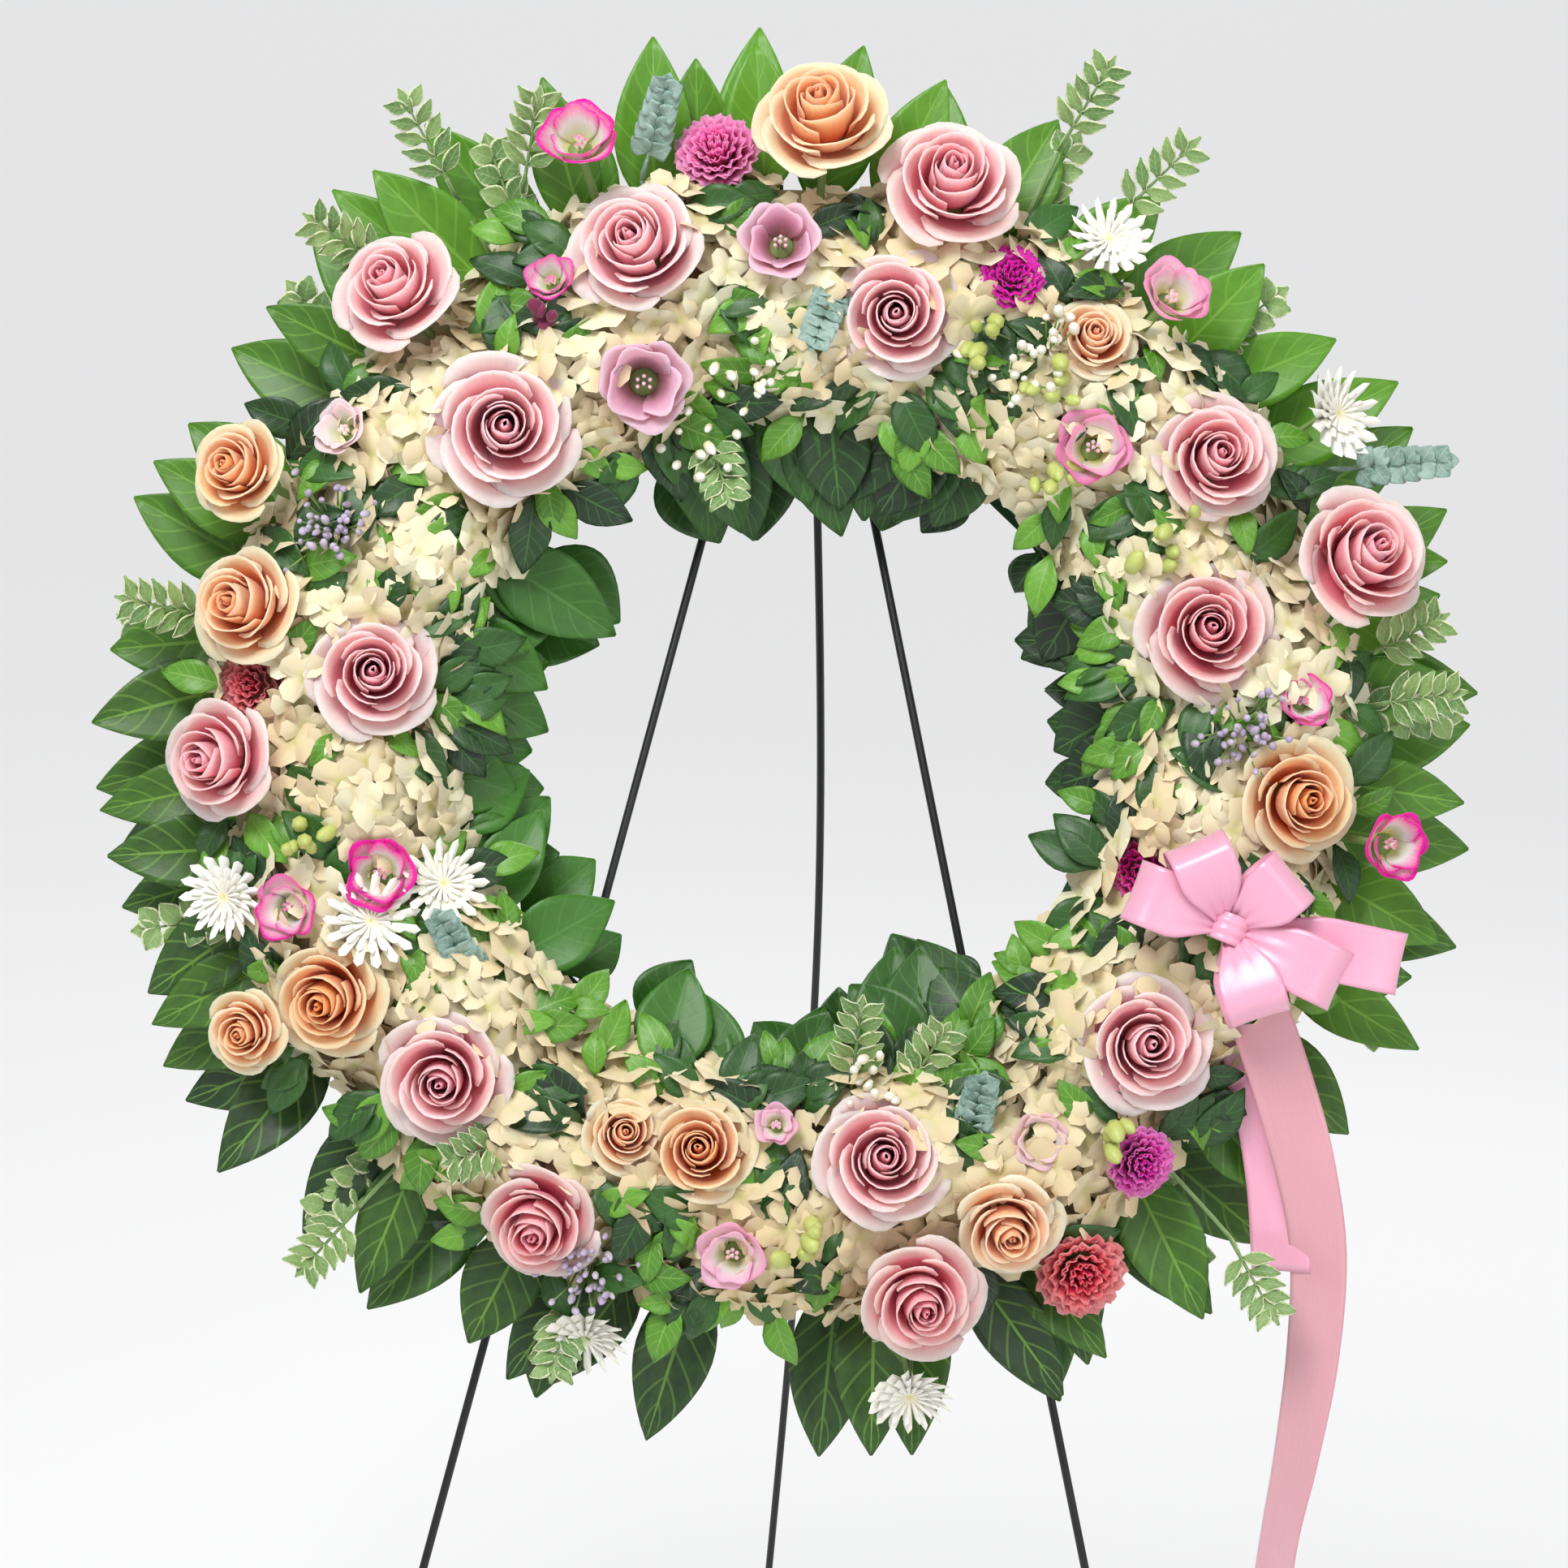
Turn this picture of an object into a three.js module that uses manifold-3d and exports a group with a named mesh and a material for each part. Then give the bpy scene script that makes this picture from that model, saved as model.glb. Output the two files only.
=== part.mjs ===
// Funeral wreath of roses, hydrangea, lisianthus and salal leaves, hung on a folding wire easel.
// Millimetres, +Z up. The wreath is laid out flat as (right, up, front), then leaned back with the easel.
import * as THREE from "three";
import { mergeVertices } from "three/addons/utils/BufferGeometryUtils.js";
import Module from "manifold-3d";

const wasm = await Module();
wasm.setup();

// Driving dimensions.
const LEAN = THREE.MathUtils.degToRad(12); // front legs and wreath lean back
const REAR_SPREAD = THREE.MathUtils.degToRad(16); // rear leg from the vertical
const WIRE_R = 2.5;
const LEG_SPLAY = 0.236; // sideways run of a front leg per unit of drop
const BAR_UP = 319; // hinge bar above the ring's centre
const LEG_TOP_X = 6.5;
const LEG_DROP = 1168; // hinge bar to floor, along the leaning plane
const CLEAR = 0.3;

const FOAM_IN = 195;
const FOAM_OUT = 305;
const RING_MID = (FOAM_IN + FOAM_OUT) / 2;
const TRAY_BACK = WIRE_R + CLEAR;
const TRAY_THICK = 3;
const TRAY_EDGE = 5; // tray beyond the foam, each side
const TRAY_RIM = 9; // height of the tray's outer rim
const FOAM_BACK = TRAY_BACK + TRAY_THICK + CLEAR;
const FOAM_FRONT = 66;
const RING_SIDES = 30;

const STEM_R = 2.4;
const STEM_DEPTH = 18;
const TWIG_R = 2;
const LEAF_LONG = 84;
const LEAF_HALF = 22;
const RIBBON_WIDE = 36;
const RIBBON_THICK = 1;

// Blooms as [right, up, radius] on the wreath's face, seated at one of two heights.
const FRONT_TIER = 98;
const BACK_TIER = 76;
const PINK_ROSES = [
  [-230, 249, 35], [-92, 279, 38], [-169, 175, 42], [85, 320, 39], [57, 249, 36],
  [241, 170, 35], [325, 114, 39], [242, 72, 38], [-239, 30, 36], [-320, -20, 34],
  [-189, -199, 37], [-130, -277, 33], [64, -240, 37], [88, -315, 34], [212, -167, 38],
];
const PEACH_ROSES = [
  [[11, 353, 39]], [[-316, 145, 28]], [[-308, 67, 33]], [[-254, -154, 33], [-303, -176, 23]],
  [[-40, -239, 31], [-86, -230, 23]], [[137, -271, 30]], [[294, -23, 34]], [[170, 236, 24]],
];
const LISIANTHUS = [
  [[-129, 338, 22], [-142, 260, 14]],
  [[-88, 206, 26], [-11, 286, 22]],
  [[-257, 170, 16]],
  [[212, 261, 20], [172, 175, 21]],
  [[348, -47, 20], [297, 33, 15]],
  [[-230, -85, 20], [-280, -104, 18]],
  [[-19, -295, 19], [3, -222, 12]],
  [[153, -223, 16]],
];
const CARNATIONS = [
  ["hot_pink", [-49, 339, 24]], ["coral", [-307, 23, 23]], ["coral", [181, -300, 26]],
  ["hot_pink", [211, -68, 22]], ["magenta", [122, 271, 19]], ["magenta", [212, -234, 20]],
];
const BOW = [258, -98];

// Large leaves by clock angle in degrees, and how far their tips reach from the ring's centre.
const OUTER_ARCS = [
  [[307, 398], [316, 410], [332, 416], [338, 406], [354, 418], [1, 408], [13, 396], [36, 400], [56, 414]],
  [[64, 412], [72, 410], [80, 404], [89, 402], [97, 404], [105, 408], [120, 402], [136, 408],
    [142, 414], [151, 410], [158, 416], [164, 420], [172, 418]],
  [[187, 416], [201, 408], [212, 408], [234, 408], [241, 408], [255, 396], [261, 392], [268, 402],
    [286, 404], [294, 396]],
];
const INNER_ARCS = [
  [[337, 126], [353, 122], [7, 134], [20, 140], [33, 150]],
  [[51, 165], [67, 150], [79, 158], [94, 158]],
  [[140, 158], [149, 130], [168, 148], [194, 158], [205, 140]],
  [[222, 150], [234, 132], [246, 148], [260, 146], [274, 150], [293, 124], [305, 122]],
];
const SPRIG_ARCS = [[309, 330, 22, 44], [84, 112, 138, 167], [197, 221, 250, 277]];

const COLOURS = {
  pink: 0xe9a3b0, peach: 0xf3b48f, lisianthus: 0xe58fb5,
  hot_pink: 0xee6fa6, coral: 0xe56a76, magenta: 0xd6489a,
  hydrangea: 0xeadfc4, salal: 0x2f6b2c, salal_dark: 0x234f26, sprig: 0xb9c9a0, satin: 0xf29dbf,
  foam: 0x3f6b3f, tray: 0x24452a, wire: 0x151615,
};

// The same draws each run.
let seed = 517;
function draw(low, high) {
  seed = (seed * 1664525 + 1013904223) % 4294967296;
  return low + (high - low) * (seed / 4294967296);
}

const point = (right, up, front) => new THREE.Vector3(right, -front, up);
const clock = (degrees, radius, front) => {
  const a = THREE.MathUtils.degToRad(degrees);
  return point(radius * Math.sin(a), radius * Math.cos(a), front);
};

// A closed solid through rings of equal count, between a first and a last pole. The sides listed in
// crossed are split along their other diagonal.
function loft(rings, firstPole, lastPole, crossed = []) {
  const count = rings[0].length;
  const vertices = [firstPole, ...rings.flat(), lastPole];
  const triangles = [];
  const at = (ring, k) => 1 + ring * count + (k % count);
  for (let k = 0; k < count; k += 1) {
    triangles.push(0, at(0, k + 1), at(0, k));
    triangles.push(vertices.length - 1, at(rings.length - 1, k), at(rings.length - 1, k + 1));
    for (let ring = 0; ring + 1 < rings.length; ring += 1) {
      const [a, b, c, d] = [at(ring, k), at(ring, k + 1), at(ring + 1, k + 1), at(ring + 1, k)];
      triangles.push(...(crossed.includes(k) ? [a, b, d, b, c, d] : [a, b, c, a, c, d]));
    }
  }
  const geometry = new THREE.BufferGeometry().setFromPoints(vertices);
  geometry.setIndex(triangles);
  return geometry;
}

// Two unit vectors square to an axis and to each other.
function across(axis) {
  const helper = Math.abs(axis.z) < 0.9 ? new THREE.Vector3(0, 0, 1) : new THREE.Vector3(1, 0, 0);
  const side = new THREE.Vector3().crossVectors(helper, axis).normalize();
  return [side, new THREE.Vector3().crossVectors(axis, side).normalize()];
}

function circle(centre, axis, radius, sides, turn = 0) {
  const [a, b] = across(axis);
  return Array.from({ length: sides }, (_, k) => {
    const angle = (2 * Math.PI * (k + turn)) / sides;
    return centre.clone()
      .addScaledVector(a, radius * Math.cos(angle)).addScaledVector(b, radius * Math.sin(angle));
  });
}

// A round wire through points, with mitred bends and flat ends.
function wire(points, radius, sides) {
  const directions = points.map((p, i) => {
    const before = points[Math.max(i - 1, 0)];
    const after = points[Math.min(i + 1, points.length - 1)];
    return after.clone().sub(before).normalize();
  });
  let [side] = across(directions[0]);
  const rings = points.map((p, i) => {
    side = side.clone().addScaledVector(directions[i], -side.dot(directions[i])).normalize();
    const up = new THREE.Vector3().crossVectors(directions[i], side);
    return Array.from({ length: sides }, (_, k) => {
      const angle = (2 * Math.PI * k) / sides;
      return p.clone()
        .addScaledVector(side, radius * Math.cos(angle)).addScaledVector(up, radius * Math.sin(angle));
    });
  });
  return loft(rings, points[0], points.at(-1));
}

function toSolid(geometry) {
  const bare = geometry.clone();
  bare.deleteAttribute("normal");
  bare.deleteAttribute("uv");
  const merged = mergeVertices(bare, 1e-4);
  return new wasm.Manifold(new wasm.Mesh({
    numProp: 3,
    vertProperties: new Float32Array(merged.attributes.position.array),
    triVerts: new Uint32Array(merged.index.array),
  }));
}

const joined = (solids) => solids.reduce((whole, solid) => whole.add(solid));

// The largest piece of a solid, so that no loose scrap stays.
function mainBody(solid) {
  return solid.decompose().reduce((best, piece) => (piece.volume() > best.volume() ? piece : best));
}

// A solid's geometry, with the slivers that a join leaves taken out.
const SLIVER = 0.05;
function toGeometry(solid) {
  const { vertProperties, triVerts } = solid.simplify(SLIVER).getMesh();
  const geometry = new THREE.BufferGeometry();
  geometry.setAttribute("position", new THREE.BufferAttribute(vertProperties, 3));
  geometry.setIndex(new THREE.BufferAttribute(triVerts, 1));
  return geometry;
}

function mesh(name, geometry, colour, roughness = 0.6, metalness = 0) {
  const finish = new THREE.MeshStandardMaterial({ color: colour, roughness, metalness });
  const node = new THREE.Mesh(geometry, finish);
  node.name = name;
  return node;
}

const wreath = new THREE.Group();
const easel = new THREE.Group();
const stems = []; // [from inside the foam, to the bloom's base]
const envelopes = []; // closed room that each bloom takes

// A bloom: its seat on the wreath's face, the way it looks, and the stem down to the foam.
const TILT_START = RING_MID + 5; // inside this reach a bloom looks inward, outside it outward
const TILT_RUN = 100;
const TILT_IN = -0.35;
const TILT_OUT = 0.55;
const TILT_TURN = 0.75;
const BASE_SINK = 0.15; // share of a bloom's depth that sits behind its seat
const ENTRY_IN = FOAM_IN + 18; // stems enter the foam between these reaches
const ENTRY_OUT = FOAM_OUT - 22;
function seat(right, up, radius, front, deep) {
  const reach = Math.hypot(right, up);
  const outward = point(right / reach, up / reach, 0);
  const tilt = THREE.MathUtils.clamp((reach - TILT_START) / TILT_RUN, TILT_IN, TILT_OUT) * TILT_TURN;
  const axis = point(0, 0, 1).multiplyScalar(Math.cos(tilt)).addScaledVector(outward, Math.sin(tilt));
  const base = point(right, up, front).addScaledVector(axis, -deep * BASE_SINK);
  const straight = reach - Math.tan(tilt) * (front - FOAM_FRONT);
  const entry = THREE.MathUtils.clamp(straight, ENTRY_IN, ENTRY_OUT);
  const mouth = point((right * entry) / reach, (up * entry) / reach, FOAM_FRONT);
  const along = mouth.clone().sub(base).normalize();
  const foot = mouth.clone().addScaledVector(along, STEM_DEPTH);
  stems.push([foot, base]);
  return { axis, base, foot, along, radius, deep };
}

// Rings round a bloom's axis. A row is [tip radius, notch radius, tip height, notch height, tip spoke].
function bloomRings(place, rows, petals, turn) {
  const [a, b] = across(place.axis);
  const spokes = petals * 2;
  return rows.map(([tipR, notchR, tipH, notchH, odd]) => Array.from({ length: spokes }, (_, k) => {
    const isTip = k % 2 === odd;
    const r = place.radius * (isTip ? tipR : notchR);
    const angle = (Math.PI * k) / petals + turn;
    return place.base.clone()
      .addScaledVector(place.axis, place.deep * (isTip ? tipH : notchH))
      .addScaledVector(a, r * Math.cos(angle))
      .addScaledVector(b, r * Math.sin(angle));
  }));
}

function bloom(place, rows, petals, crown) {
  const turn = draw(0, Math.PI);
  const stemAxis = place.along.clone().negate();
  const [a, b] = across(place.axis);
  const stemRing = (centre) => Array.from({ length: petals * 2 }, (_, k) => {
    const angle = (Math.PI * k) / petals + turn;
    const offset = a.clone().multiplyScalar(Math.cos(angle)).addScaledVector(b, Math.sin(angle));
    offset.addScaledVector(stemAxis, -offset.dot(stemAxis)).normalize();
    return centre.clone().addScaledVector(offset, STEM_R);
  });
  const rings = [stemRing(place.foot), stemRing(place.base), ...bloomRings(place, rows, petals, turn)];
  const top = place.base.clone().addScaledVector(place.axis, place.deep * crown);
  envelopes.push(envelope(place));
  return loft(rings, place.foot, top);
}

// A plain cup a little larger than a bloom, to cut its room out of what lies round it.
function envelope(place) {
  const sides = 7;
  const grow = 1 / Math.cos(Math.PI / sides);
  const ring = (r, h) => circle(
    place.base.clone().addScaledVector(place.axis, h), place.axis, (r + 0.8) * grow, sides);
  const rings = [
    ring(STEM_R + 1, -2), ring(place.radius * 0.72, place.deep * 0.12),
    ring(place.radius, place.deep * 0.42), ring(place.radius, place.deep * 1.05),
  ];
  const tip = (h) => place.base.clone().addScaledVector(place.axis, h);
  return toSolid(loft(rings, tip(-2), tip(place.deep * 1.05)));
}

const ROSE_ROWS = [
  [0.72, 0.68, 0.22, 0.22, 0],
  [1, 0.88, 0.6, 0.54, 0], [0.82, 0.8, 0.5, 0.48, 0],
  [0.86, 0.74, 0.82, 0.76, 1], [0.58, 0.56, 0.66, 0.66, 1],
  [0.58, 0.48, 0.97, 0.9, 0],
];
const CUP_ROWS = [
  [0.56, 0.5, 0.34, 0.34, 0], [1, 0.78, 0.95, 0.86, 0], [0.34, 0.3, 0.42, 0.42, 0],
];
const FRILL_ROWS = [
  [0.46, 0.4, 0.34, 0.34, 0], [1, 0.84, 0.55, 0.5, 0], [0.74, 0.7, 0.56, 0.52, 1],
  [0.78, 0.6, 0.84, 0.74, 1], [0.46, 0.4, 0.7, 0.66, 0], [0.4, 0.26, 1, 0.88, 0],
];

function rose([right, up, radius], front = FRONT_TIER) {
  return bloom(seat(right, up, radius, front, radius * 1.3), ROSE_ROWS, 5, 0.74);
}

function lisianthus([right, up, radius]) {
  return bloom(seat(right, up, radius, FRONT_TIER + 4, radius * 1.25), CUP_ROWS, 5, 0.62);
}

function carnation([right, up, radius], front) {
  return bloom(seat(right, up, radius, front, radius * 1.2), FRILL_ROWS, 5, 0.85);
}

PINK_ROSES.forEach((place, i) => {
  wreath.add(mesh(`pink_rose_${String(i + 1).padStart(2, "0")}`, rose(place), COLOURS.pink));
});

// A spray of blooms of one kind: stalks of the side blooms run into the first bloom's stem.
function spray(name, places, make, colour) {
  const first = stems.length;
  const solids = places.map((place) => toSolid(make(place)));
  const root = stems[first];
  for (let i = 1; i < places.length; i += 1) {
    const fork = root[0].clone().lerp(root[1], 0.72);
    const stalk = [fork, stems[first + i][1].clone().addScaledVector(point(0, 0, 1), -4)];
    stems.push(stalk);
    solids.push(toSolid(wire(stalk, STEM_R * 0.8, 5)));
  }
  wreath.add(mesh(name, toGeometry(mainBody(joined(solids))), colour));
}
PEACH_ROSES.forEach((places, i) => spray(`peach_rose_${i + 1}`, places, rose, COLOURS.peach));
LISIANTHUS.forEach((places, i) => spray(`lisianthus_${i + 1}`, places, lisianthus, COLOURS.lisianthus));
CARNATIONS.forEach(([colour, place], i) => {
  const front = place[2] > 21 ? BACK_TIER : FRONT_TIER;
  wreath.add(mesh(`${colour}_carnation_${i + 1}`, carnation(place, front), COLOURS[colour]));
});

// Satin bow: loops of ribbon round a knot, on a pick that stands in the foam.
const BOW_FRONT = 126;
const KNOT_R = 11;
const knotCentre = point(BOW[0], BOW[1], BOW_FRONT);
function knot(grow) {
  const flat = new THREE.SphereGeometry(KNOT_R + grow, 8, 6);
  flat.translate(knotCentre.x, knotCentre.y, knotCentre.z);
  return toSolid(flat);
}

// A ribbon through points, wide along one direction each, as a thin closed band. Its two faces are split
// along the same diagonals, so that a twist doesn't bring them through each other.
const RIBBON_BACK_FACE = 2;
function ribbon(points, sides, width, thick) {
  const rings = points.map((p, i) => {
    const before = points[Math.max(i - 1, 0)];
    const after = points[Math.min(i + 1, points.length - 1)];
    const run = after.clone().sub(before).normalize();
    const wide = sides[i].clone().addScaledVector(run, -sides[i].dot(run)).normalize();
    const face = new THREE.Vector3().crossVectors(run, wide);
    return [[1, 1], [-1, 1], [-1, -1], [1, -1]].map(([s, t]) => p.clone()
      .addScaledVector(wide, (s * width[i]) / 2).addScaledVector(face, (t * thick) / 2));
  });
  return loft(rings, points[0], points.at(-1), [RIBBON_BACK_FACE]);
}

const BOW_LOOPS = [
  [160, 60, 18], [115, 54, 24], [42, 48, 20], [-24, 70, 18], [-70, 54, 20], [-10, 100, 9],
];
const LOOP_PATH = [[4, -1], [22, 11], [46, 17], [58, 6], [50, -7], [22, -8], [4, -4]];
function bowLoop([degrees, long, lift], grow) {
  const a = THREE.MathUtils.degToRad(degrees);
  const out = point(Math.cos(a), Math.sin(a), 0);
  const side = point(-Math.sin(a), Math.cos(a), 0);
  const path = LOOP_PATH.map(([x, h]) => knotCentre.clone()
    .addScaledVector(out, (x * long) / 58).addScaledVector(point(0, 0, 1), h * (lift / 16) + 2));
  const width = LOOP_PATH.map(([x]) => (x < 10 ? 9 : RIBBON_WIDE * Math.min(1, 0.45 + x / 60)) + 2 * grow);
  return toSolid(ribbon(path, path.map(() => side), width, RIBBON_THICK * 1.4 + 2 * grow));
}

// Tails hang plumb from the knot: the face leans back, so they come nearer to it as they drop.
function tail(route, behind, grow) {
  const points = route.map(([right, up]) => point(
    right, up, BOW_FRONT - behind - (BOW[1] - up) * Math.tan(LEAN)));
  const sides = route.map(([, , degrees]) => {
    const a = THREE.MathUtils.degToRad(degrees);
    return point(Math.cos(a), 0, Math.sin(a));
  });
  const width = route.map((row, i) => (i === 0 ? 10 : RIBBON_WIDE) + 2 * grow);
  return toSolid(ribbon(points, sides, width, RIBBON_THICK + 2 * grow));
}
const LONG_TAIL = [
  [260, -105, 10], [276, -140, 12], [296, -190, -6], [312, -240, 16], [322, -290, 30], [322, -350, 40],
  [316, -410, 52], [308, -470, 60], [303, -560, 50],
];
const SHORT_TAIL = [[258, -98, 10], [268, -140, 12], [284, -190, -4], [296, -245, 14], [302, -300, 24]];
const LONG_BEHIND = 10;
const SHORT_BEHIND = 20;
const pickFoot = point(BOW[0], BOW[1], FOAM_FRONT - STEM_DEPTH);
stems.push([pickFoot, knotCentre]);
const bow = (grow) => joined([
  knot(grow), toSolid(wire([pickFoot, knotCentre], STEM_R, 6)), tail(SHORT_TAIL, SHORT_BEHIND, grow),
  ...BOW_LOOPS.map((loop) => bowLoop(loop, grow)),
]);
const clearOf = (solid, rooms) => rooms.reduce((body, room) => body.subtract(room), solid);
const bowRoom = bow(CLEAR);
const tailRoom = tail(LONG_TAIL, LONG_BEHIND, CLEAR);
wreath.add(mesh("satin_bow", toGeometry(mainBody(clearOf(bow(0), envelopes))), COLOURS.satin, 0.3));
const longTail = clearOf(tail(LONG_TAIL, LONG_BEHIND, 0), [...envelopes, bowRoom]);
wreath.add(mesh("ribbon_tail", toGeometry(mainBody(longTail)), COLOURS.satin, 0.3));

// Plain holes for the stems, through what they pass.
const stemHoles = stems.map(([foot, base]) => {
  const along = base.clone().sub(foot).normalize();
  const end = foot.clone().addScaledVector(along, -CLEAR);
  return toSolid(wire([end, base.clone()], (STEM_R + CLEAR) / Math.cos(Math.PI / 5), 5));
});
const cutStems = (solid) => stemHoles.reduce((body, hole) => body.subtract(hole), solid);

// Floral foam in its plastic tray, turned about the front axis.
function turned(profile) {
  const outline = profile.map(([radius, front]) => new THREE.Vector2(radius, front));
  outline.push(outline[0].clone());
  const ring = new THREE.LatheGeometry(outline, RING_SIDES);
  ring.rotateX(Math.PI);
  return ring;
}
const CHAMFER = 9;
const foam = toSolid(turned([
  [FOAM_IN, FOAM_BACK], [FOAM_OUT, FOAM_BACK],
  [FOAM_OUT, FOAM_FRONT - CHAMFER], [FOAM_OUT - CHAMFER, FOAM_FRONT],
  [FOAM_IN + CHAMFER, FOAM_FRONT], [FOAM_IN, FOAM_FRONT - CHAMFER],
]));
wreath.add(mesh("foam_ring", toGeometry(mainBody(cutStems(foam))), COLOURS.foam, 0.9));

const HOOK_R = 2;
const HOOK_X = 13;
const LUG_HOLE_R = 5;
const LUG_HOLE_UP = BAR_UP - (LUG_HOLE_R - HOOK_R - CLEAR);
const LUG_R = 10;
const LUG_HALF_ROOT = 8;
const LUG_ROOT_UP = FOAM_OUT - 6;
const LUG_PAST_HALF = 0.2; // radians that the rounded end runs past a half circle, each side
const LUG_STEPS = 4;
function lug(side) {
  const outline = new THREE.Shape();
  outline.moveTo(-LUG_HALF_ROOT, LUG_ROOT_UP);
  outline.lineTo(LUG_HALF_ROOT, LUG_ROOT_UP);
  outline.absarc(0, LUG_HOLE_UP, LUG_R, -LUG_PAST_HALF, Math.PI + LUG_PAST_HALF);
  const holeR = LUG_HOLE_R / Math.cos(Math.PI / (2 * LUG_STEPS));
  outline.holes.push(new THREE.Path().absarc(0, LUG_HOLE_UP, holeR, 0, 2 * Math.PI, true));
  const plate = new THREE.ExtrudeGeometry(
    outline, { depth: TRAY_THICK, bevelEnabled: false, curveSegments: LUG_STEPS });
  plate.rotateX(Math.PI / 2);
  plate.translate(side * HOOK_X, -TRAY_BACK, 0);
  return toSolid(plate);
}
const tray = toSolid(turned([
  [FOAM_IN - TRAY_EDGE, TRAY_BACK], [FOAM_OUT + TRAY_EDGE, TRAY_BACK],
  [FOAM_OUT + TRAY_EDGE, TRAY_BACK + TRAY_RIM], [FOAM_OUT + TRAY_EDGE - TRAY_THICK, TRAY_BACK + TRAY_RIM],
  [FOAM_OUT + TRAY_EDGE - TRAY_THICK, TRAY_BACK + TRAY_THICK], [FOAM_IN - TRAY_EDGE, TRAY_BACK + TRAY_THICK],
]));
wreath.add(mesh("ring_tray", toGeometry(joined([tray, lug(-1), lug(1)])), COLOURS.tray, 0.5));

// Hydrangea bed in arcs: a low core with four-petalled florets standing out of it, open where a bloom sits.
const BED_ARCS = 5;
const BED_MID = RING_MID + 12;
const BED_HALF = 76;
const CORE_HIGH = 24;
const BED_GAP = 0.6; // degrees between neighbouring arcs
const BED_FLOOR = FOAM_FRONT + CLEAR;
const FLORET_R = 24;
const FLORET_ROWS = [-0.78, 0, 0.78];
const FLORET_PITCH = 44;
const allBlooms = [
  ...PINK_ROSES, ...PEACH_ROSES.flat(), ...LISIANTHUS.flat(), ...CARNATIONS.map(([, place]) => place),
];

function floret(spot, axis, radius, turn) {
  const [a, b] = across(axis);
  const rim = Array.from({ length: 8 }, (_, k) => {
    const r = radius * (k % 2 ? 0.52 : 1);
    const angle = (Math.PI * k) / 4 + turn;
    return spot.clone().addScaledVector(a, r * Math.cos(angle)).addScaledVector(b, r * Math.sin(angle));
  });
  const root = spot.clone().addScaledVector(axis, -radius * 1.3);
  const eye = spot.clone().addScaledVector(axis, -radius * 0.18);
  return toSolid(loft([rim], root, eye));
}

// The core of one arc: a low half-round section carried along the ring.
const CORE_SECTION = [[-0.72, 0], [-0.6, 0.6], [0, 1], [0.6, 0.6], [0.72, 0]];
const CORE_STEPS = 5;
function bedCore(start, sweep) {
  const rings = Array.from({ length: CORE_STEPS + 1 }, (_, k) => {
    const degrees = start + (sweep * k) / CORE_STEPS;
    return CORE_SECTION.map(([offset, high]) => clock(
      degrees, BED_MID + offset * BED_HALF, BED_FLOOR + high * CORE_HIGH));
  });
  const end = (degrees) => clock(degrees, BED_MID, BED_FLOOR + CORE_HIGH * 0.4);
  return toSolid(loft(rings.map((ring) => ring.reverse()), end(start), end(start + sweep)));
}

function bedFlorets(start, sweep) {
  const front = point(0, 0, 1);
  const florets = [];
  FLORET_ROWS.forEach((offset, row) => {
    const radius = BED_MID + offset * BED_HALF;
    const count = Math.round((THREE.MathUtils.degToRad(sweep) * radius) / FLORET_PITCH);
    for (let i = 0; i < count; i += 1) {
      const degrees = start + (sweep * (i + (row % 2 ? 0.75 : 0.25))) / count;
      const outward = clock(degrees, 1, 0);
      const lean = offset * 0.9;
      const axis = front.clone().multiplyScalar(Math.cos(lean)).addScaledVector(outward, Math.sin(lean));
      const high = CORE_HIGH * (1.6 - 0.85 * offset * offset) + draw(0, 4);
      const spot = clock(degrees, radius, BED_FLOOR + high);
      const room = Math.min(...allBlooms.map(
        ([right, up, r]) => Math.hypot(right - spot.x, up - spot.z) - r));
      const size = Math.min(FLORET_R, room - 2);
      if (size > FLORET_R * 0.6) {
        florets.push(floret(spot, axis, size, draw(0, 1.5)));
      }
    }
  });
  return florets;
}

const bedFloor = new THREE.BoxGeometry(2000, 200, 2000);
bedFloor.translate(0, -BED_FLOOR + 100, 0);
const underBed = toSolid(bedFloor);
const beds = [];
for (let i = 0; i < BED_ARCS; i += 1) {
  const sweep = 360 / BED_ARCS - BED_GAP;
  const start = (i * 360) / BED_ARCS - 18;
  const neighbours = i === BED_ARCS - 1 ? [beds.at(-1), beds[0]] : beds.slice(-1);
  const grown = joined([bedCore(start, sweep), ...bedFlorets(start, sweep)]);
  const rooms = [underBed, bowRoom, tailRoom, ...envelopes, ...neighbours];
  const bed = mainBody(cutStems(clearOf(grown, rooms)));
  beds.push(bed);
  wreath.add(mesh(`hydrangea_${i + 1}`, toGeometry(bed), COLOURS.hydrangea));
}

// A leaf: stalk and arched blade with its edges raised along the midrib, tip as a point.
function leaf(root, outward, face, long, half) {
  const side = new THREE.Vector3().crossVectors(face, outward).normalize();
  const row = (s, width, thick, bend) => {
    const centre = root.clone().addScaledVector(outward, long * s).addScaledVector(face, bend);
    const edge = width * 0.2;
    return [
      centre.clone().addScaledVector(side, width).addScaledVector(face, edge),
      centre.clone().addScaledVector(face, thick),
      centre.clone().addScaledVector(side, -width).addScaledVector(face, edge),
      centre.clone().addScaledVector(face, -thick),
    ];
  };
  const rows = [row(0, 1.4, 1.4, 0), row(0.44, half, 1, 3), row(0.76, half * 0.72, 0.9, 2)];
  return loft(rows, root, root.clone().addScaledVector(outward, long).addScaledVector(face, -1));
}

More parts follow.
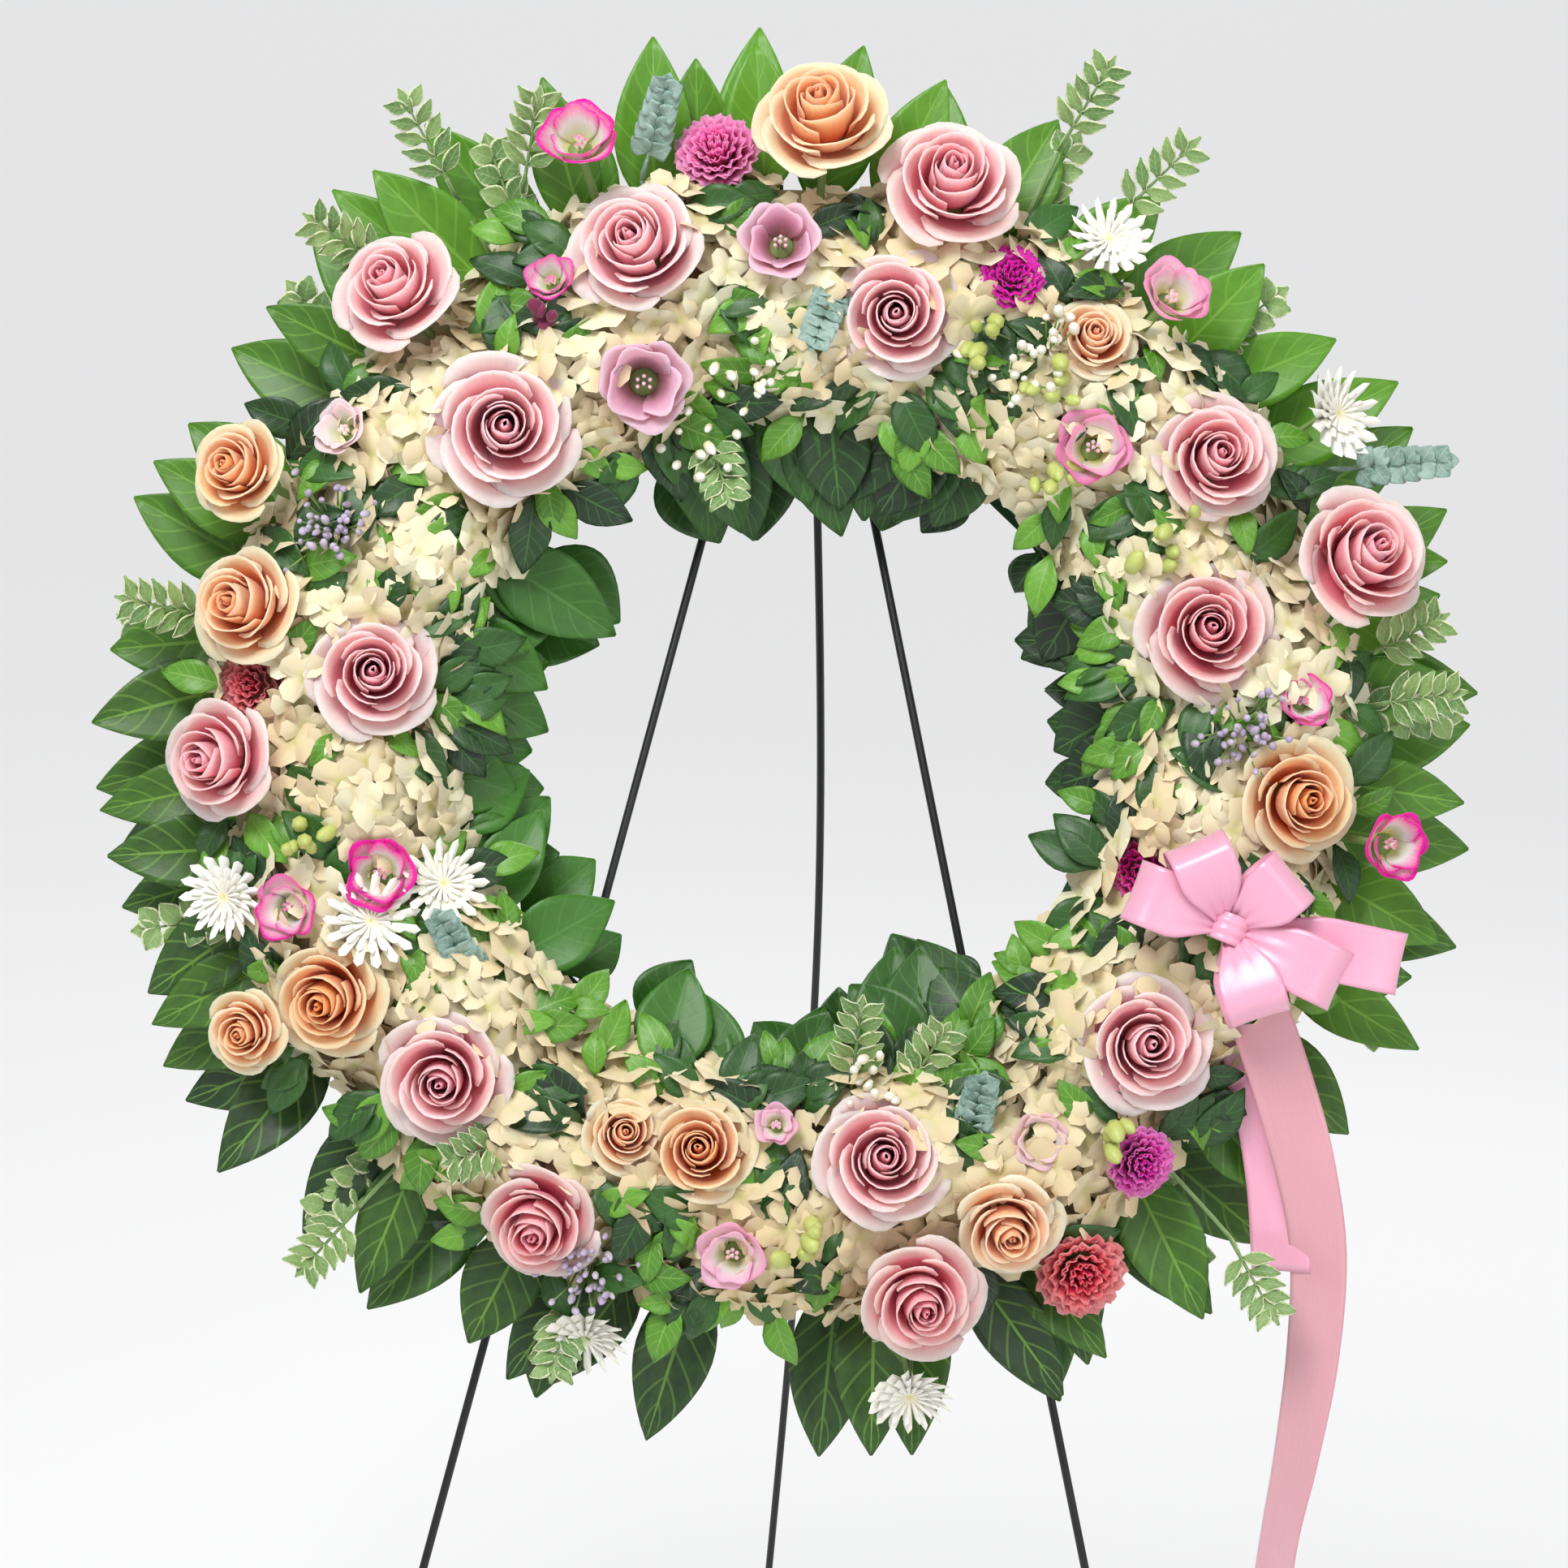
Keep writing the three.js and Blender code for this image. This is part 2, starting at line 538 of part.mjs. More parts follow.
// A leafy stem bent round the foam's wall, with its leaves one before another in three depths.
const LEAF_DEPTHS = [15, 26, 37];
function leafyStem(name, leaves, radius, inward, colour) {
  const angles = leaves.map(([degrees]) => (degrees - leaves[0][0] + 360) % 360);
  const start = leaves[0][0];
  const sweep = Math.max(...angles) + 3;
  const steps = Math.ceil(sweep / 10);
  const twigFront = LEAF_DEPTHS[1];
  const twigPoints = Array.from({ length: steps + 1 }, (_, k) => clock(
    start - 2 + (sweep * k) / steps, radius, twigFront));
  const solids = [toSolid(wire(twigPoints, TWIG_R, 3))];
  leaves.forEach(([degrees, reach], i) => {
    const depth = LEAF_DEPTHS[i % LEAF_DEPTHS.length];
    const root = clock(degrees, radius, twigFront);
    const tip = clock(degrees + draw(-4, 4), reach, depth);
    const outward = tip.clone().sub(root);
    const long = outward.length();
    outward.normalize();
    const face = point(0, 0, 1).addScaledVector(outward, -outward.dot(point(0, 0, 1))).normalize();
    const half = inward ? LEAF_HALF * 0.8 : LEAF_HALF;
    solids.push(toSolid(leaf(root, outward, face, long, half * Math.min(1, long / LEAF_LONG))));
  });
  wreath.add(mesh(name, toGeometry(mainBody(joined(solids))), colour, 0.45));
}
const OUTER_TWIG = FOAM_OUT + CLEAR + TWIG_R + 1;
const INNER_TWIG = FOAM_IN - CLEAR - TWIG_R - 1;
OUTER_ARCS.forEach((leaves, i) => {
  leafyStem(`salal_outer_${i + 1}`, leaves, OUTER_TWIG, false, COLOURS.salal);
});
INNER_ARCS.forEach((leaves, i) => {
  leafyStem(`salal_inner_${i + 1}`, leaves, INNER_TWIG, true, COLOURS.salal_dark);
});

// Variegated sprigs: slim stems of paired leaflets that stand out from a twig near the foam's front edge.
const SPRIG_FRONT = 51;
const SPRIG_LONG = 92;
const LEAFLET_PAIRS = 3;
const LEAFLET_LONG = 17;
function sprig(root, tip) {
  const run = tip.clone().sub(root);
  const along = run.clone().normalize();
  const face = point(0, 0, 1).addScaledVector(along, -along.dot(point(0, 0, 1))).normalize();
  const side = new THREE.Vector3().crossVectors(face, along);
  const row = (s, width, thick, ahead) => {
    const centre = root.clone().addScaledVector(run, s);
    const edge = (sign) => centre.clone().addScaledVector(side, sign * width).addScaledVector(along, ahead)
      .addScaledVector(face, width * 0.25);
    const ridge = (sign) => centre.clone().addScaledVector(face, sign * thick);
    return [edge(1), ridge(1), edge(-1), ridge(-1)];
  };
  const rows = [row(0, 1.2, 1.2, 0), row(0.3, 1.2, 1.2, 0)];
  for (let k = 0; k < LEAFLET_PAIRS; k += 1) {
    const s = 0.3 + (0.62 * k) / LEAFLET_PAIRS;
    const shrink = 1 - 0.07 * k;
    rows.push(row(s + 0.04, LEAFLET_LONG * 0.8 * shrink, 1, LEAFLET_LONG * 0.7), row(s + 0.13, 2, 1, 2));
  }
  return loft(rows, root, tip);
}
function sprigStem(name, clocks) {
  const start = clocks[0];
  const sweep = (clocks.at(-1) - start + 360) % 360;
  const steps = Math.ceil(sweep / 10);
  const twigPoints = Array.from({ length: steps + 1 }, (_, k) => clock(
    start - 1 + ((sweep + 2) * k) / steps, OUTER_TWIG, SPRIG_FRONT));
  const solids = [toSolid(wire(twigPoints, TWIG_R, 3))];
  for (const degrees of clocks) {
    const root = clock(degrees, OUTER_TWIG, SPRIG_FRONT);
    const tip = clock(degrees + 2, OUTER_TWIG + SPRIG_LONG, SPRIG_FRONT + 4);
    solids.push(toSolid(sprig(root, tip)));
  }
  wreath.add(mesh(name, toGeometry(mainBody(joined(solids))), COLOURS.sprig, 0.5));
}
SPRIG_ARCS.forEach((clocks, i) => sprigStem(`variegated_sprigs_${i + 1}`, clocks));

// Easel: hinge bar with its ends bent forward as hooks, two front legs under it, rear leg looped round it.
// A hook's bends from its tip back to the bar, as [inward, up, front].
const HOOK_BENDS = [[0, 14, 22], [0, 3, 17], [0, 0, 12], [0, 0, 3], [3, 0, 0]];
const barEnd = (side) => HOOK_BENDS.map(
  ([inward, up, front]) => point(side * (HOOK_X - inward), BAR_UP + up, front));
const bar = wire([...barEnd(-1), ...barEnd(1).reverse()], HOOK_R, 8);
wreath.add(mesh("easel_hinge_bar", bar, COLOURS.wire, 0.4, 0.6));

wreath.rotation.x = -LEAN;
const planeToWorld = new THREE.Matrix4().makeRotationX(-LEAN);
const barCentre = point(0, BAR_UP, 0).applyMatrix4(planeToWorld);
const floor = barCentre.z - LEG_DROP * Math.cos(LEAN);

// A straight leg from its top centre down to a flat foot on the floor.
function leg(top, bottom, radius) {
  const along = bottom.clone().sub(top).normalize();
  const upper = circle(top, along, radius, 8);
  const foot = upper.map((p) => p.clone().addScaledVector(along, (floor - p.z) / along.z));
  return loft([upper, foot], top, top.clone().addScaledVector(along, (floor - top.z) / along.z));
}
for (const [name, side] of [["easel_left_leg", -1], ["easel_right_leg", 1]]) {
  const drop = HOOK_R + CLEAR + WIRE_R * LEG_SPLAY;
  const at = (down) => point(side * (LEG_TOP_X + down * LEG_SPLAY), BAR_UP - down, 0)
    .applyMatrix4(planeToWorld);
  const [top, bottom] = [at(drop), at(LEG_DROP)];
  easel.add(mesh(name, leg(top, bottom, WIRE_R), COLOURS.wire, 0.4, 0.6));
}

// Rear leg: an eye round the hinge bar, a slight bow to the right, and a flat foot.
const EYE_R = HOOK_R + CLEAR + 0.3 + HOOK_R;
const EYE_STEPS = 10;
const EYE_SIDES = 6;
const eyePoints = Array.from({ length: EYE_STEPS }, (_, k) => {
  const angle = (2 * Math.PI * k) / EYE_STEPS;
  return barCentre.clone().add(new THREE.Vector3(0, EYE_R * Math.sin(angle), EYE_R * Math.cos(angle)));
});
const eyeRings = eyePoints.map((p) => {
  const out = p.clone().sub(barCentre).normalize();
  return Array.from({ length: EYE_SIDES }, (_, k) => {
    const angle = (2 * Math.PI * k) / EYE_SIDES;
    return p.clone().addScaledVector(out, HOOK_R * Math.cos(angle))
      .add(new THREE.Vector3(HOOK_R * Math.sin(angle), 0, 0));
  });
});
function closedLoop(rings) {
  const count = rings[0].length;
  const vertices = rings.flat();
  const triangles = [];
  rings.forEach((ring, i) => ring.forEach((_, k) => {
    const next = ((i + 1) % rings.length) * count;
    const here = i * count;
    const after = (k + 1) % count;
    triangles.push(here + k, here + after, next + after, here + k, next + after, next + k);
  }));
  const geometry = new THREE.BufferGeometry().setFromPoints(vertices);
  geometry.setIndex(triangles);
  return geometry;
}
const rearDrop = (s, bow) => new THREE.Vector3(
  bow, barCentre.y + s * Math.tan(REAR_SPREAD), barCentre.z - s);
const rearHeight = barCentre.z - floor;
const eyeReach = EYE_R * Math.cos(REAR_SPREAD);
const REAR_BOW = [[190, 16], [470, 26], [780, 18]]; // [drop, sideways bow]
const rearBends = [[eyeReach, 0], ...REAR_BOW, [rearHeight, 0]].map(([s, bow]) => rearDrop(s, bow));
const rearPath = new THREE.CatmullRomCurve3(rearBends).getPoints(8);
const rearRun = rearPath.slice(0, -1);
const rearTube = (() => {
  const last = rearRun.at(-1);
  const along = rearPath.at(-1).clone().sub(last).normalize();
  const rings = rearRun.map((p, i) => circle(
    p, (rearPath[i + 1].clone().sub(rearPath[Math.max(i - 1, 0)])).normalize(), WIRE_R, 8));
  rings.push(rings.at(-1).map((p) => p.clone().addScaledVector(along, (floor - p.z) / along.z)));
  return loft(rings, rearRun[0], last.clone().addScaledVector(along, (floor - last.z) / along.z));
})();
const rearLeg = joined([toSolid(closedLoop(eyeRings)), toSolid(rearTube)]);
easel.add(mesh("easel_rear_leg", toGeometry(rearLeg), COLOURS.wire, 0.4, 0.6));

// The whole stands on the floor with its box centred over the origin.
const whole = new THREE.Group();
whole.add(wreath, easel);
whole.updateMatrixWorld(true);
const box = new THREE.Box3().setFromObject(whole, true);
whole.position.set(-(box.min.x + box.max.x) / 2, -(box.min.y + box.max.y) / 2, -box.min.z);
const part = new THREE.Group();
part.add(whole);

export default part;
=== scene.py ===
"""Funeral wreath of roses, hydrangea and salal on a wire easel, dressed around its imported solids."""
from __future__ import annotations

import logging
import math
import random
from dataclasses import dataclass, field
from enum import Enum

import bmesh
import bpy
import numpy as np
from mathutils import Matrix, Vector

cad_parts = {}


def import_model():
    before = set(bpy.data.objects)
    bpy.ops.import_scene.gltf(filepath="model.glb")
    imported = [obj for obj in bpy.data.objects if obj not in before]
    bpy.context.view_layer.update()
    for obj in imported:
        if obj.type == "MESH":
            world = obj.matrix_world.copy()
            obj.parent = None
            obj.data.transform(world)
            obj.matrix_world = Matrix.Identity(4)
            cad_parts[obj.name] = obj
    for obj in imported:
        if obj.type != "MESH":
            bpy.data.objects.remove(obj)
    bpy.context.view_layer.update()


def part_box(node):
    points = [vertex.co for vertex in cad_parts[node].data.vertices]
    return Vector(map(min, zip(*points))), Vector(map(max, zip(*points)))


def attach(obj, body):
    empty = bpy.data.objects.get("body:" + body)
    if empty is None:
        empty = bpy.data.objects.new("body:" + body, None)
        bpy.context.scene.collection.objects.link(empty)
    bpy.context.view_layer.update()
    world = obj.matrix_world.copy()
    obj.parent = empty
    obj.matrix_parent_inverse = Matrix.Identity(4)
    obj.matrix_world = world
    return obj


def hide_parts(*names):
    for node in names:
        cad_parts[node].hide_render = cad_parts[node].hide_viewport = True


LOG = logging.getLogger("wreath")
MM = 0.001
STAND = "wreath_stand"
REAR = "rear_leg"

Grid = np.ndarray
Colour = tuple[float, float, float]


# Layout of the wreath's face, in millimetres right and up of the ring's centre.
LEAN_DEG = 12.0
FOAM_MID_FRONT = 36.05
RING_MID = 250.0
FOAM_IN, FOAM_OUT, FOAM_FRONT = 195.0, 305.0, 66.0
FRONT_TIER, BACK_TIER = 98.0, 76.0
WIRE_R = 2.5

PINK_ROSES = [
    (-230, 249, 35), (-92, 279, 38), (-169, 175, 42), (85, 320, 39), (57, 249, 36),
    (241, 170, 35), (325, 114, 39), (242, 72, 38), (-239, 30, 36), (-320, -20, 34),
    (-189, -199, 37), (-130, -277, 33), (64, -240, 37), (88, -315, 34), (212, -167, 38),
]
PEACH_ROSES = [
    [(11, 353, 39)], [(-316, 145, 28)], [(-308, 67, 33)], [(-254, -154, 33), (-303, -176, 23)],
    [(-40, -239, 31), (-86, -230, 23)], [(137, -271, 30)], [(294, -23, 34)], [(170, 236, 24)],
]
LISIANTHUS = [
    [(-129, 338, 22), (-142, 260, 14)], [(-88, 206, 26), (-11, 286, 22)], [(-257, 170, 16)],
    [(212, 261, 20), (172, 175, 21)], [(348, -47, 20), (297, 33, 15)],
    [(-230, -85, 20), (-280, -104, 18)], [(-19, -295, 19), (3, -222, 12)], [(153, -223, 16)],
]
CARNATIONS = [
    ("hot_pink", (-49, 339, 24)), ("coral", (-307, 23, 23)), ("coral", (181, -300, 26)),
    ("hot_pink", (211, -68, 22)), ("magenta", (122, 271, 19)), ("magenta", (212, -234, 20)),
]
BACK_TIER_RADIUS = 21

OUTER_ARCS = [
    [(307, 398), (316, 410), (332, 416), (338, 406), (354, 418), (1, 408), (13, 396), (36, 400), (56, 414)],
    [(64, 412), (72, 410), (80, 404), (89, 402), (97, 404), (105, 408), (120, 402), (136, 408),
     (142, 414), (151, 410), (158, 416), (164, 420), (172, 418)],
    [(187, 416), (201, 408), (212, 408), (234, 408), (241, 408), (255, 396), (261, 392), (268, 402),
     (286, 404), (294, 396)],
]
INNER_ARCS = [
    [(337, 126), (353, 122), (7, 134), (20, 140), (33, 150)],
    [(51, 165), (67, 150), (79, 158), (94, 158)],
    [(140, 158), (149, 130), (168, 148), (194, 158), (205, 140)],
    [(222, 150), (234, 132), (246, 148), (260, 146), (274, 150), (293, 124), (305, 122)],
]
SPRIG_ARCS = [(309, 330, 22, 44), (84, 112, 138, 167), (197, 221, 250, 277)]
TWIG_R = 2.0
OUTER_TWIG = FOAM_OUT + 0.3 + TWIG_R + 1
INNER_TWIG = FOAM_IN - 0.3 - TWIG_R - 1

BOW = (258.0, -98.0)
BOW_FRONT = 126.0
RIBBON_WIDE = 36.0
BOW_LOOPS = [(-10, 100, 9), (-24, 70, 18), (160, 60, 18), (115, 54, 24), (42, 48, 20), (-70, 54, 20)]
LOOP_PATH = [(4, -1), (22, 11), (46, 17), (58, 6), (50, -7), (22, -8), (4, -4)]
LONG_TAIL = [
    (260, -105, 10), (276, -140, 12), (296, -190, -6), (312, -240, 16), (322, -290, 30), (322, -350, 40),
    (316, -410, 52), (308, -470, 60), (303, -560, 50),
]
SHORT_TAIL = [(258, -98, 10), (268, -140, 12), (284, -190, -4), (296, -245, 14), (302, -300, 24)]


def unit(v: np.ndarray) -> np.ndarray:
    """Return v scaled to length one."""
    return v / max(float(np.linalg.norm(v)), 1e-12)


def smooth(low: float, high: float, x: np.ndarray | float) -> np.ndarray:
    """Return a smooth step of x from 0 at low to 1 at high."""
    t = np.clip((np.asarray(x, float) - low) / (high - low), 0, 1)
    return t * t * (3 - 2 * t)


def spline(points: np.ndarray, count: int) -> np.ndarray:
    """Resample a route as a smooth curve.

    Args:
        points: Knots of the route, one row each.
        count: Number of points along the curve.

    Returns:
        The curve's points, evenly spread over the knots' spans.
    """
    p = np.asarray(points, float)
    p = np.vstack([2 * p[0] - p[1], p, 2 * p[-1] - p[-2]])
    spans = len(p) - 3
    out = []
    for x in np.linspace(0, spans, count):
        i = min(int(x), spans - 1)
        t = x - i
        a, b, c, d = p[i:i + 4]
        out.append(0.5 * (2 * b + (c - a) * t + (2 * a - 5 * b + 4 * c - d) * t**2
                          + (3 * b - a - 3 * c + d) * t**3))
    return np.array(out)


def across(axis: np.ndarray) -> tuple[np.ndarray, np.ndarray]:
    """Return two unit vectors square to an axis and to each other.

    Args:
        axis: Unit vector.

    Returns:
        The two vectors.
    """
    helper = np.array([0.0, 0, 1]) if abs(axis[2]) < 0.9 else np.array([1.0, 0, 0])
    side = unit(np.cross(helper, axis))
    return side, np.cross(axis, side)


@dataclass(frozen=True)
class WreathPlane:
    """The leaning face of the wreath, which turns (right, up, front) in mm into metres of the frame."""

    centre: tuple[float, float, float]
    lean: float = math.radians(LEAN_DEG)

    @classmethod
    def from_frame(cls) -> WreathPlane:
        """Find the ring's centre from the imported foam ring's box.

        Returns:
            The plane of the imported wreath.
        """
        low, high = (np.array(c, float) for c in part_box("foam_ring"))
        front = np.array([0, -math.cos(math.radians(LEAN_DEG)), math.sin(math.radians(LEAN_DEG))])
        return cls(tuple((low + high) / 2 - front * FOAM_MID_FRONT * MM))

    def axes(self) -> np.ndarray:
        """Return the rows right, up and front in the frame."""
        c, s = math.cos(self.lean), math.sin(self.lean)
        return np.array([[1, 0, 0], [0, s, c], [0, -c, s]])

    def place(self, flat: np.ndarray) -> np.ndarray:
        """Return points of the face, in mm, as metres of the frame."""
        return np.asarray(flat, float) @ self.axes() * MM + np.array(self.centre)

    def clock(self, degrees: float, radius: float, front: float) -> np.ndarray:
        """Return the flat point at a clock angle and radius."""
        a = math.radians(degrees)
        return np.array([radius * math.sin(a), radius * math.cos(a), front])


@dataclass
class Skin:
    """A mesh under construction: closed sheets, tubes and shells with a UV map and two attributes."""

    verts: list = field(default_factory=list)
    faces: list = field(default_factory=list)
    uvs: list = field(default_factory=list)
    heart: list = field(default_factory=list)
    tint: list = field(default_factory=list)
    count: int = 0

    def add(self, verts: np.ndarray, faces: list, uv: np.ndarray, heart: float | np.ndarray = 0.0,
            tint: float = 0.5) -> None:
        """Add vertices and faces.

        Args:
            verts: Points in flat millimetres.
            faces: Index tuples into verts.
            uv: One UV pair for each point.
            heart: How near the middle of its bloom each point is, from 0 to 1.
            tint: The shade of this sheet among its like, from 0 to 1.
        """
        n = len(verts)
        self.verts.append(verts)
        self.faces += [tuple(i + self.count for i in f) for f in faces]
        self.uvs.append(uv)
        self.heart.append(np.broadcast_to(np.asarray(heart, float), (n,)))
        self.tint.append(np.full(n, tint))
        self.count += n

    def sheet(self, grid: Grid, thick: float, heart: float | np.ndarray = 0.0, tint: float = 0.5) -> None:
        """Add a thin closed sheet.

        Args:
            grid: Points of its middle surface, rows from base to rim.
            thick: Thickness in mm.
            heart: How near the middle of its bloom it is.
            tint: Its shade among its like.
        """
        n, m, _ = grid.shape
        normal = np.cross(np.gradient(grid, axis=0), np.gradient(grid, axis=1))
        normal /= np.maximum(np.linalg.norm(normal, axis=2, keepdims=True), 1e-9)
        top, low = (grid + normal * thick / 2).reshape(-1, 3), (grid - normal * thick / 2).reshape(-1, 3)
        k = np.arange(n * m).reshape(n, m)
        quads = np.stack([k[:-1, :-1], k[1:, :-1], k[1:, 1:], k[:-1, 1:]], axis=-1).reshape(-1, 4)
        faces = [tuple(q) for q in quads] + [tuple(q[::-1] + n * m) for q in quads]
        edge = np.concatenate([k[0, :], k[1:, -1], k[-1, -2::-1], k[-2:0:-1, 0]])
        for a, b in zip(edge, np.roll(edge, -1)):
            faces.append((a, b, b + n * m, a + n * m))
        uv = np.stack(np.meshgrid(np.linspace(0, 1, n), np.linspace(0, 1, m), indexing="ij"), axis=-1)
        uv = uv[..., ::-1].reshape(-1, 2)
        tone = np.broadcast_to(np.asarray(heart, float), (n * m,))
        self.add(np.vstack([top, low]), faces, np.vstack([uv, uv]), np.concatenate([tone, tone]), tint)

    def tube(self, points: np.ndarray, radii: np.ndarray | float, sides: int = 10, tint: float = 0.5,
             heart: float = 0.0) -> None:
        """Add a round closed tube through points.

        Args:
            points: Its centre line in flat mm.
            radii: Its radius, or one for each point.
            sides: Sides of its section.
            tint: Its shade among its like.
            heart: The value of its heart attribute.
        """
        p = np.asarray(points, float)
        n = len(p)
        radii = np.broadcast_to(np.asarray(radii, float), (n,))
        run = np.gradient(p, axis=0)
        side = across(unit(run[0]))[0]
        rings = []
        turn = np.linspace(0, 2 * math.pi, sides, endpoint=False)
        for i in range(n):
            d = unit(run[i])
            side = unit(side - d * side.dot(d))
            up = np.cross(d, side)
            rings.append(p[i] + radii[i] * (np.outer(np.cos(turn), side) + np.outer(np.sin(turn), up)))
        verts = np.vstack(rings + [p[:1], p[-1:]])
        faces = []
        for i in range(n - 1):
            for k in range(sides):
                j = (k + 1) % sides
                faces.append((i * sides + k, i * sides + j, (i + 1) * sides + j, (i + 1) * sides + k))
        for k in range(sides):
            j = (k + 1) % sides
            faces.append((n * sides, j, k))
            faces.append((n * sides + 1, (n - 1) * sides + k, (n - 1) * sides + j))
        v = np.concatenate([np.repeat(np.linspace(0, 1, n), sides), [0, 1]])
        u = np.concatenate([np.tile(turn / (2 * math.pi), n), [0.5, 0.5]])
        self.add(verts, faces, np.stack([u, v], axis=1), heart, tint)

    def build(self, name: str, plane: WreathPlane, finish: bpy.types.Material) -> bpy.types.Object:
        """Make the mesh object in the frame.

        Args:
            name: Name of the piece.
            plane: The face that the points are laid out on.
            finish: Its material.

        Returns:
            The new object, at the origin.
        """
        mesh = bpy.data.meshes.new(name)
        verts = plane.place(np.vstack(self.verts))
        mesh.from_pydata([tuple(v) for v in verts], [], self.faces)
        for label, values in (("heart", self.heart), ("tint", self.tint)):
            mesh.attributes.new(label, "FLOAT", "POINT").data.foreach_set("value", np.concatenate(values))
        uv = np.vstack(self.uvs)
        corner = np.empty(len(mesh.loops), np.int32)
        mesh.loops.foreach_get("vertex_index", corner)
        mesh.uv_layers.new(name="UVMap").data.foreach_set("uv", uv[corner].ravel())
        shell = bmesh.new()
        shell.from_mesh(mesh)
        bmesh.ops.recalc_face_normals(shell, faces=shell.faces)
        shell.to_mesh(mesh)
        shell.free()
        mesh.polygons.foreach_set("use_smooth", np.ones(len(mesh.polygons), bool))
        mesh.materials.append(finish)
        piece = bpy.data.objects.new(name, mesh)
        bpy.context.scene.collection.objects.link(piece)
        return piece


class Shade:
    """Helpers for node trees of the finishes, with the places of a Mix node's colour sockets."""

    MIX_FACTOR, MIX_A, MIX_B = 0, 6, 7
    MIX_COLOUR = 2

    @staticmethod
    def material(name: str) -> tuple[bpy.types.Material, bpy.types.ShaderNodeTree, bpy.types.Node]:
        """Return a new material, its node tree and its Principled shader.

        Args:
            name: Name of the material.

        Returns:
            The material, the tree and the shader.
        """
        made = bpy.data.materials.new(name)
        made.use_nodes = True
        return made, made.node_tree, made.node_tree.nodes["Principled BSDF"]

    @staticmethod
    def maths(tree: bpy.types.NodeTree, kind: str, a: object, b: object = 0.0,
              clamp: bool = False) -> bpy.types.NodeSocket:
        """Return the result of a Math node on two sockets or numbers.

        Args:
            tree: Node tree to add to.
            kind: Operation of the node.
            a: First socket or number.
            b: Second socket or number.
            clamp: Whether the result is held between 0 and 1.

        Returns:
            The result's socket.
        """
        node = tree.nodes.new("ShaderNodeMath")
        node.operation = kind
        node.use_clamp = clamp
        for socket, value in zip(node.inputs, (a, b)):
            if isinstance(value, bpy.types.NodeSocket):
                tree.links.new(value, socket)
            else:
                socket.default_value = value
        return node.outputs[0]

    @staticmethod
    def mix(tree: bpy.types.NodeTree, kind: str, factor: object, a: object,
            b: object) -> bpy.types.NodeSocket:
        """Return the colour of a Mix node.

        Args:
            tree: Node tree to add to.
            kind: Blend type of the node.
            factor: Share of the second colour, or its socket.
            a: First colour, or its socket.
            b: Second colour, or its socket.

        Returns:
            The mixed colour's socket.
        """
        node = tree.nodes.new("ShaderNodeMix")
        node.data_type = "RGBA"
        node.blend_type = kind
        for place, value in ((Shade.MIX_FACTOR, factor), (Shade.MIX_A, a), (Shade.MIX_B, b)):
            socket = node.inputs[place]
            if isinstance(value, bpy.types.NodeSocket):
                tree.links.new(value, socket)
            elif isinstance(value, tuple):
                socket.default_value = (*value, 1)
            else:
                socket.default_value = value
        return node.outputs[Shade.MIX_COLOUR]

    @staticmethod
    def noise(tree: bpy.types.NodeTree, vector: bpy.types.NodeSocket, scale: float, detail: float = 2.0,
              stretch: tuple[float, float, float] = (1, 1, 1)) -> bpy.types.NodeSocket:
        """Return a noise value over a vector that is stretched first.

        Args:
            tree: Node tree to add to.
            vector: Coordinates to read.
            scale: Scale of the noise.
            detail: Octaves of finer noise.
            stretch: Factors along the three axes.

        Returns:
            The noise's socket.
        """
        node = tree.nodes.new("ShaderNodeTexNoise")
        node.inputs["Scale"].default_value = scale
        node.inputs["Detail"].default_value = detail
        mapping = tree.nodes.new("ShaderNodeMapping")
        mapping.inputs["Scale"].default_value = stretch
        tree.links.new(vector, mapping.inputs["Vector"])
        tree.links.new(mapping.outputs[0], node.inputs["Vector"])
        return node.outputs[0]

    @staticmethod
    def bump(tree: bpy.types.NodeTree, height: bpy.types.NodeSocket, shader: bpy.types.Node, strength: float,
             distance: float) -> None:
        """Feed a height into a shader's normal.

        Args:
            tree: Node tree to add to.
            height: Socket of the height.
            shader: Principled shader to feed.
            strength: Share of the relief that shows.
            distance: Depth of the relief in metres.
        """
        node = tree.nodes.new("ShaderNodeBump")
        node.inputs["Strength"].default_value = strength
        node.inputs["Distance"].default_value = distance
        tree.links.new(height, node.inputs["Height"])
        tree.links.new(node.outputs[0], shader.inputs["Normal"])


class Finish:
    """A named finish that makes its material once."""

    name: str

    def paint(self, tree: bpy.types.ShaderNodeTree, shader: bpy.types.Node) -> None:
        """Set up the shader's nodes and sockets."""
        raise NotImplementedError

    def material(self) -> bpy.types.Material:
        """Return the material, made on first use.

        Returns:
            The finish's material.
        """
        if self.name not in bpy.data.materials:
            _, tree, shader = Shade.material(self.name)
            self.paint(tree, shader)
        return bpy.data.materials[self.name]


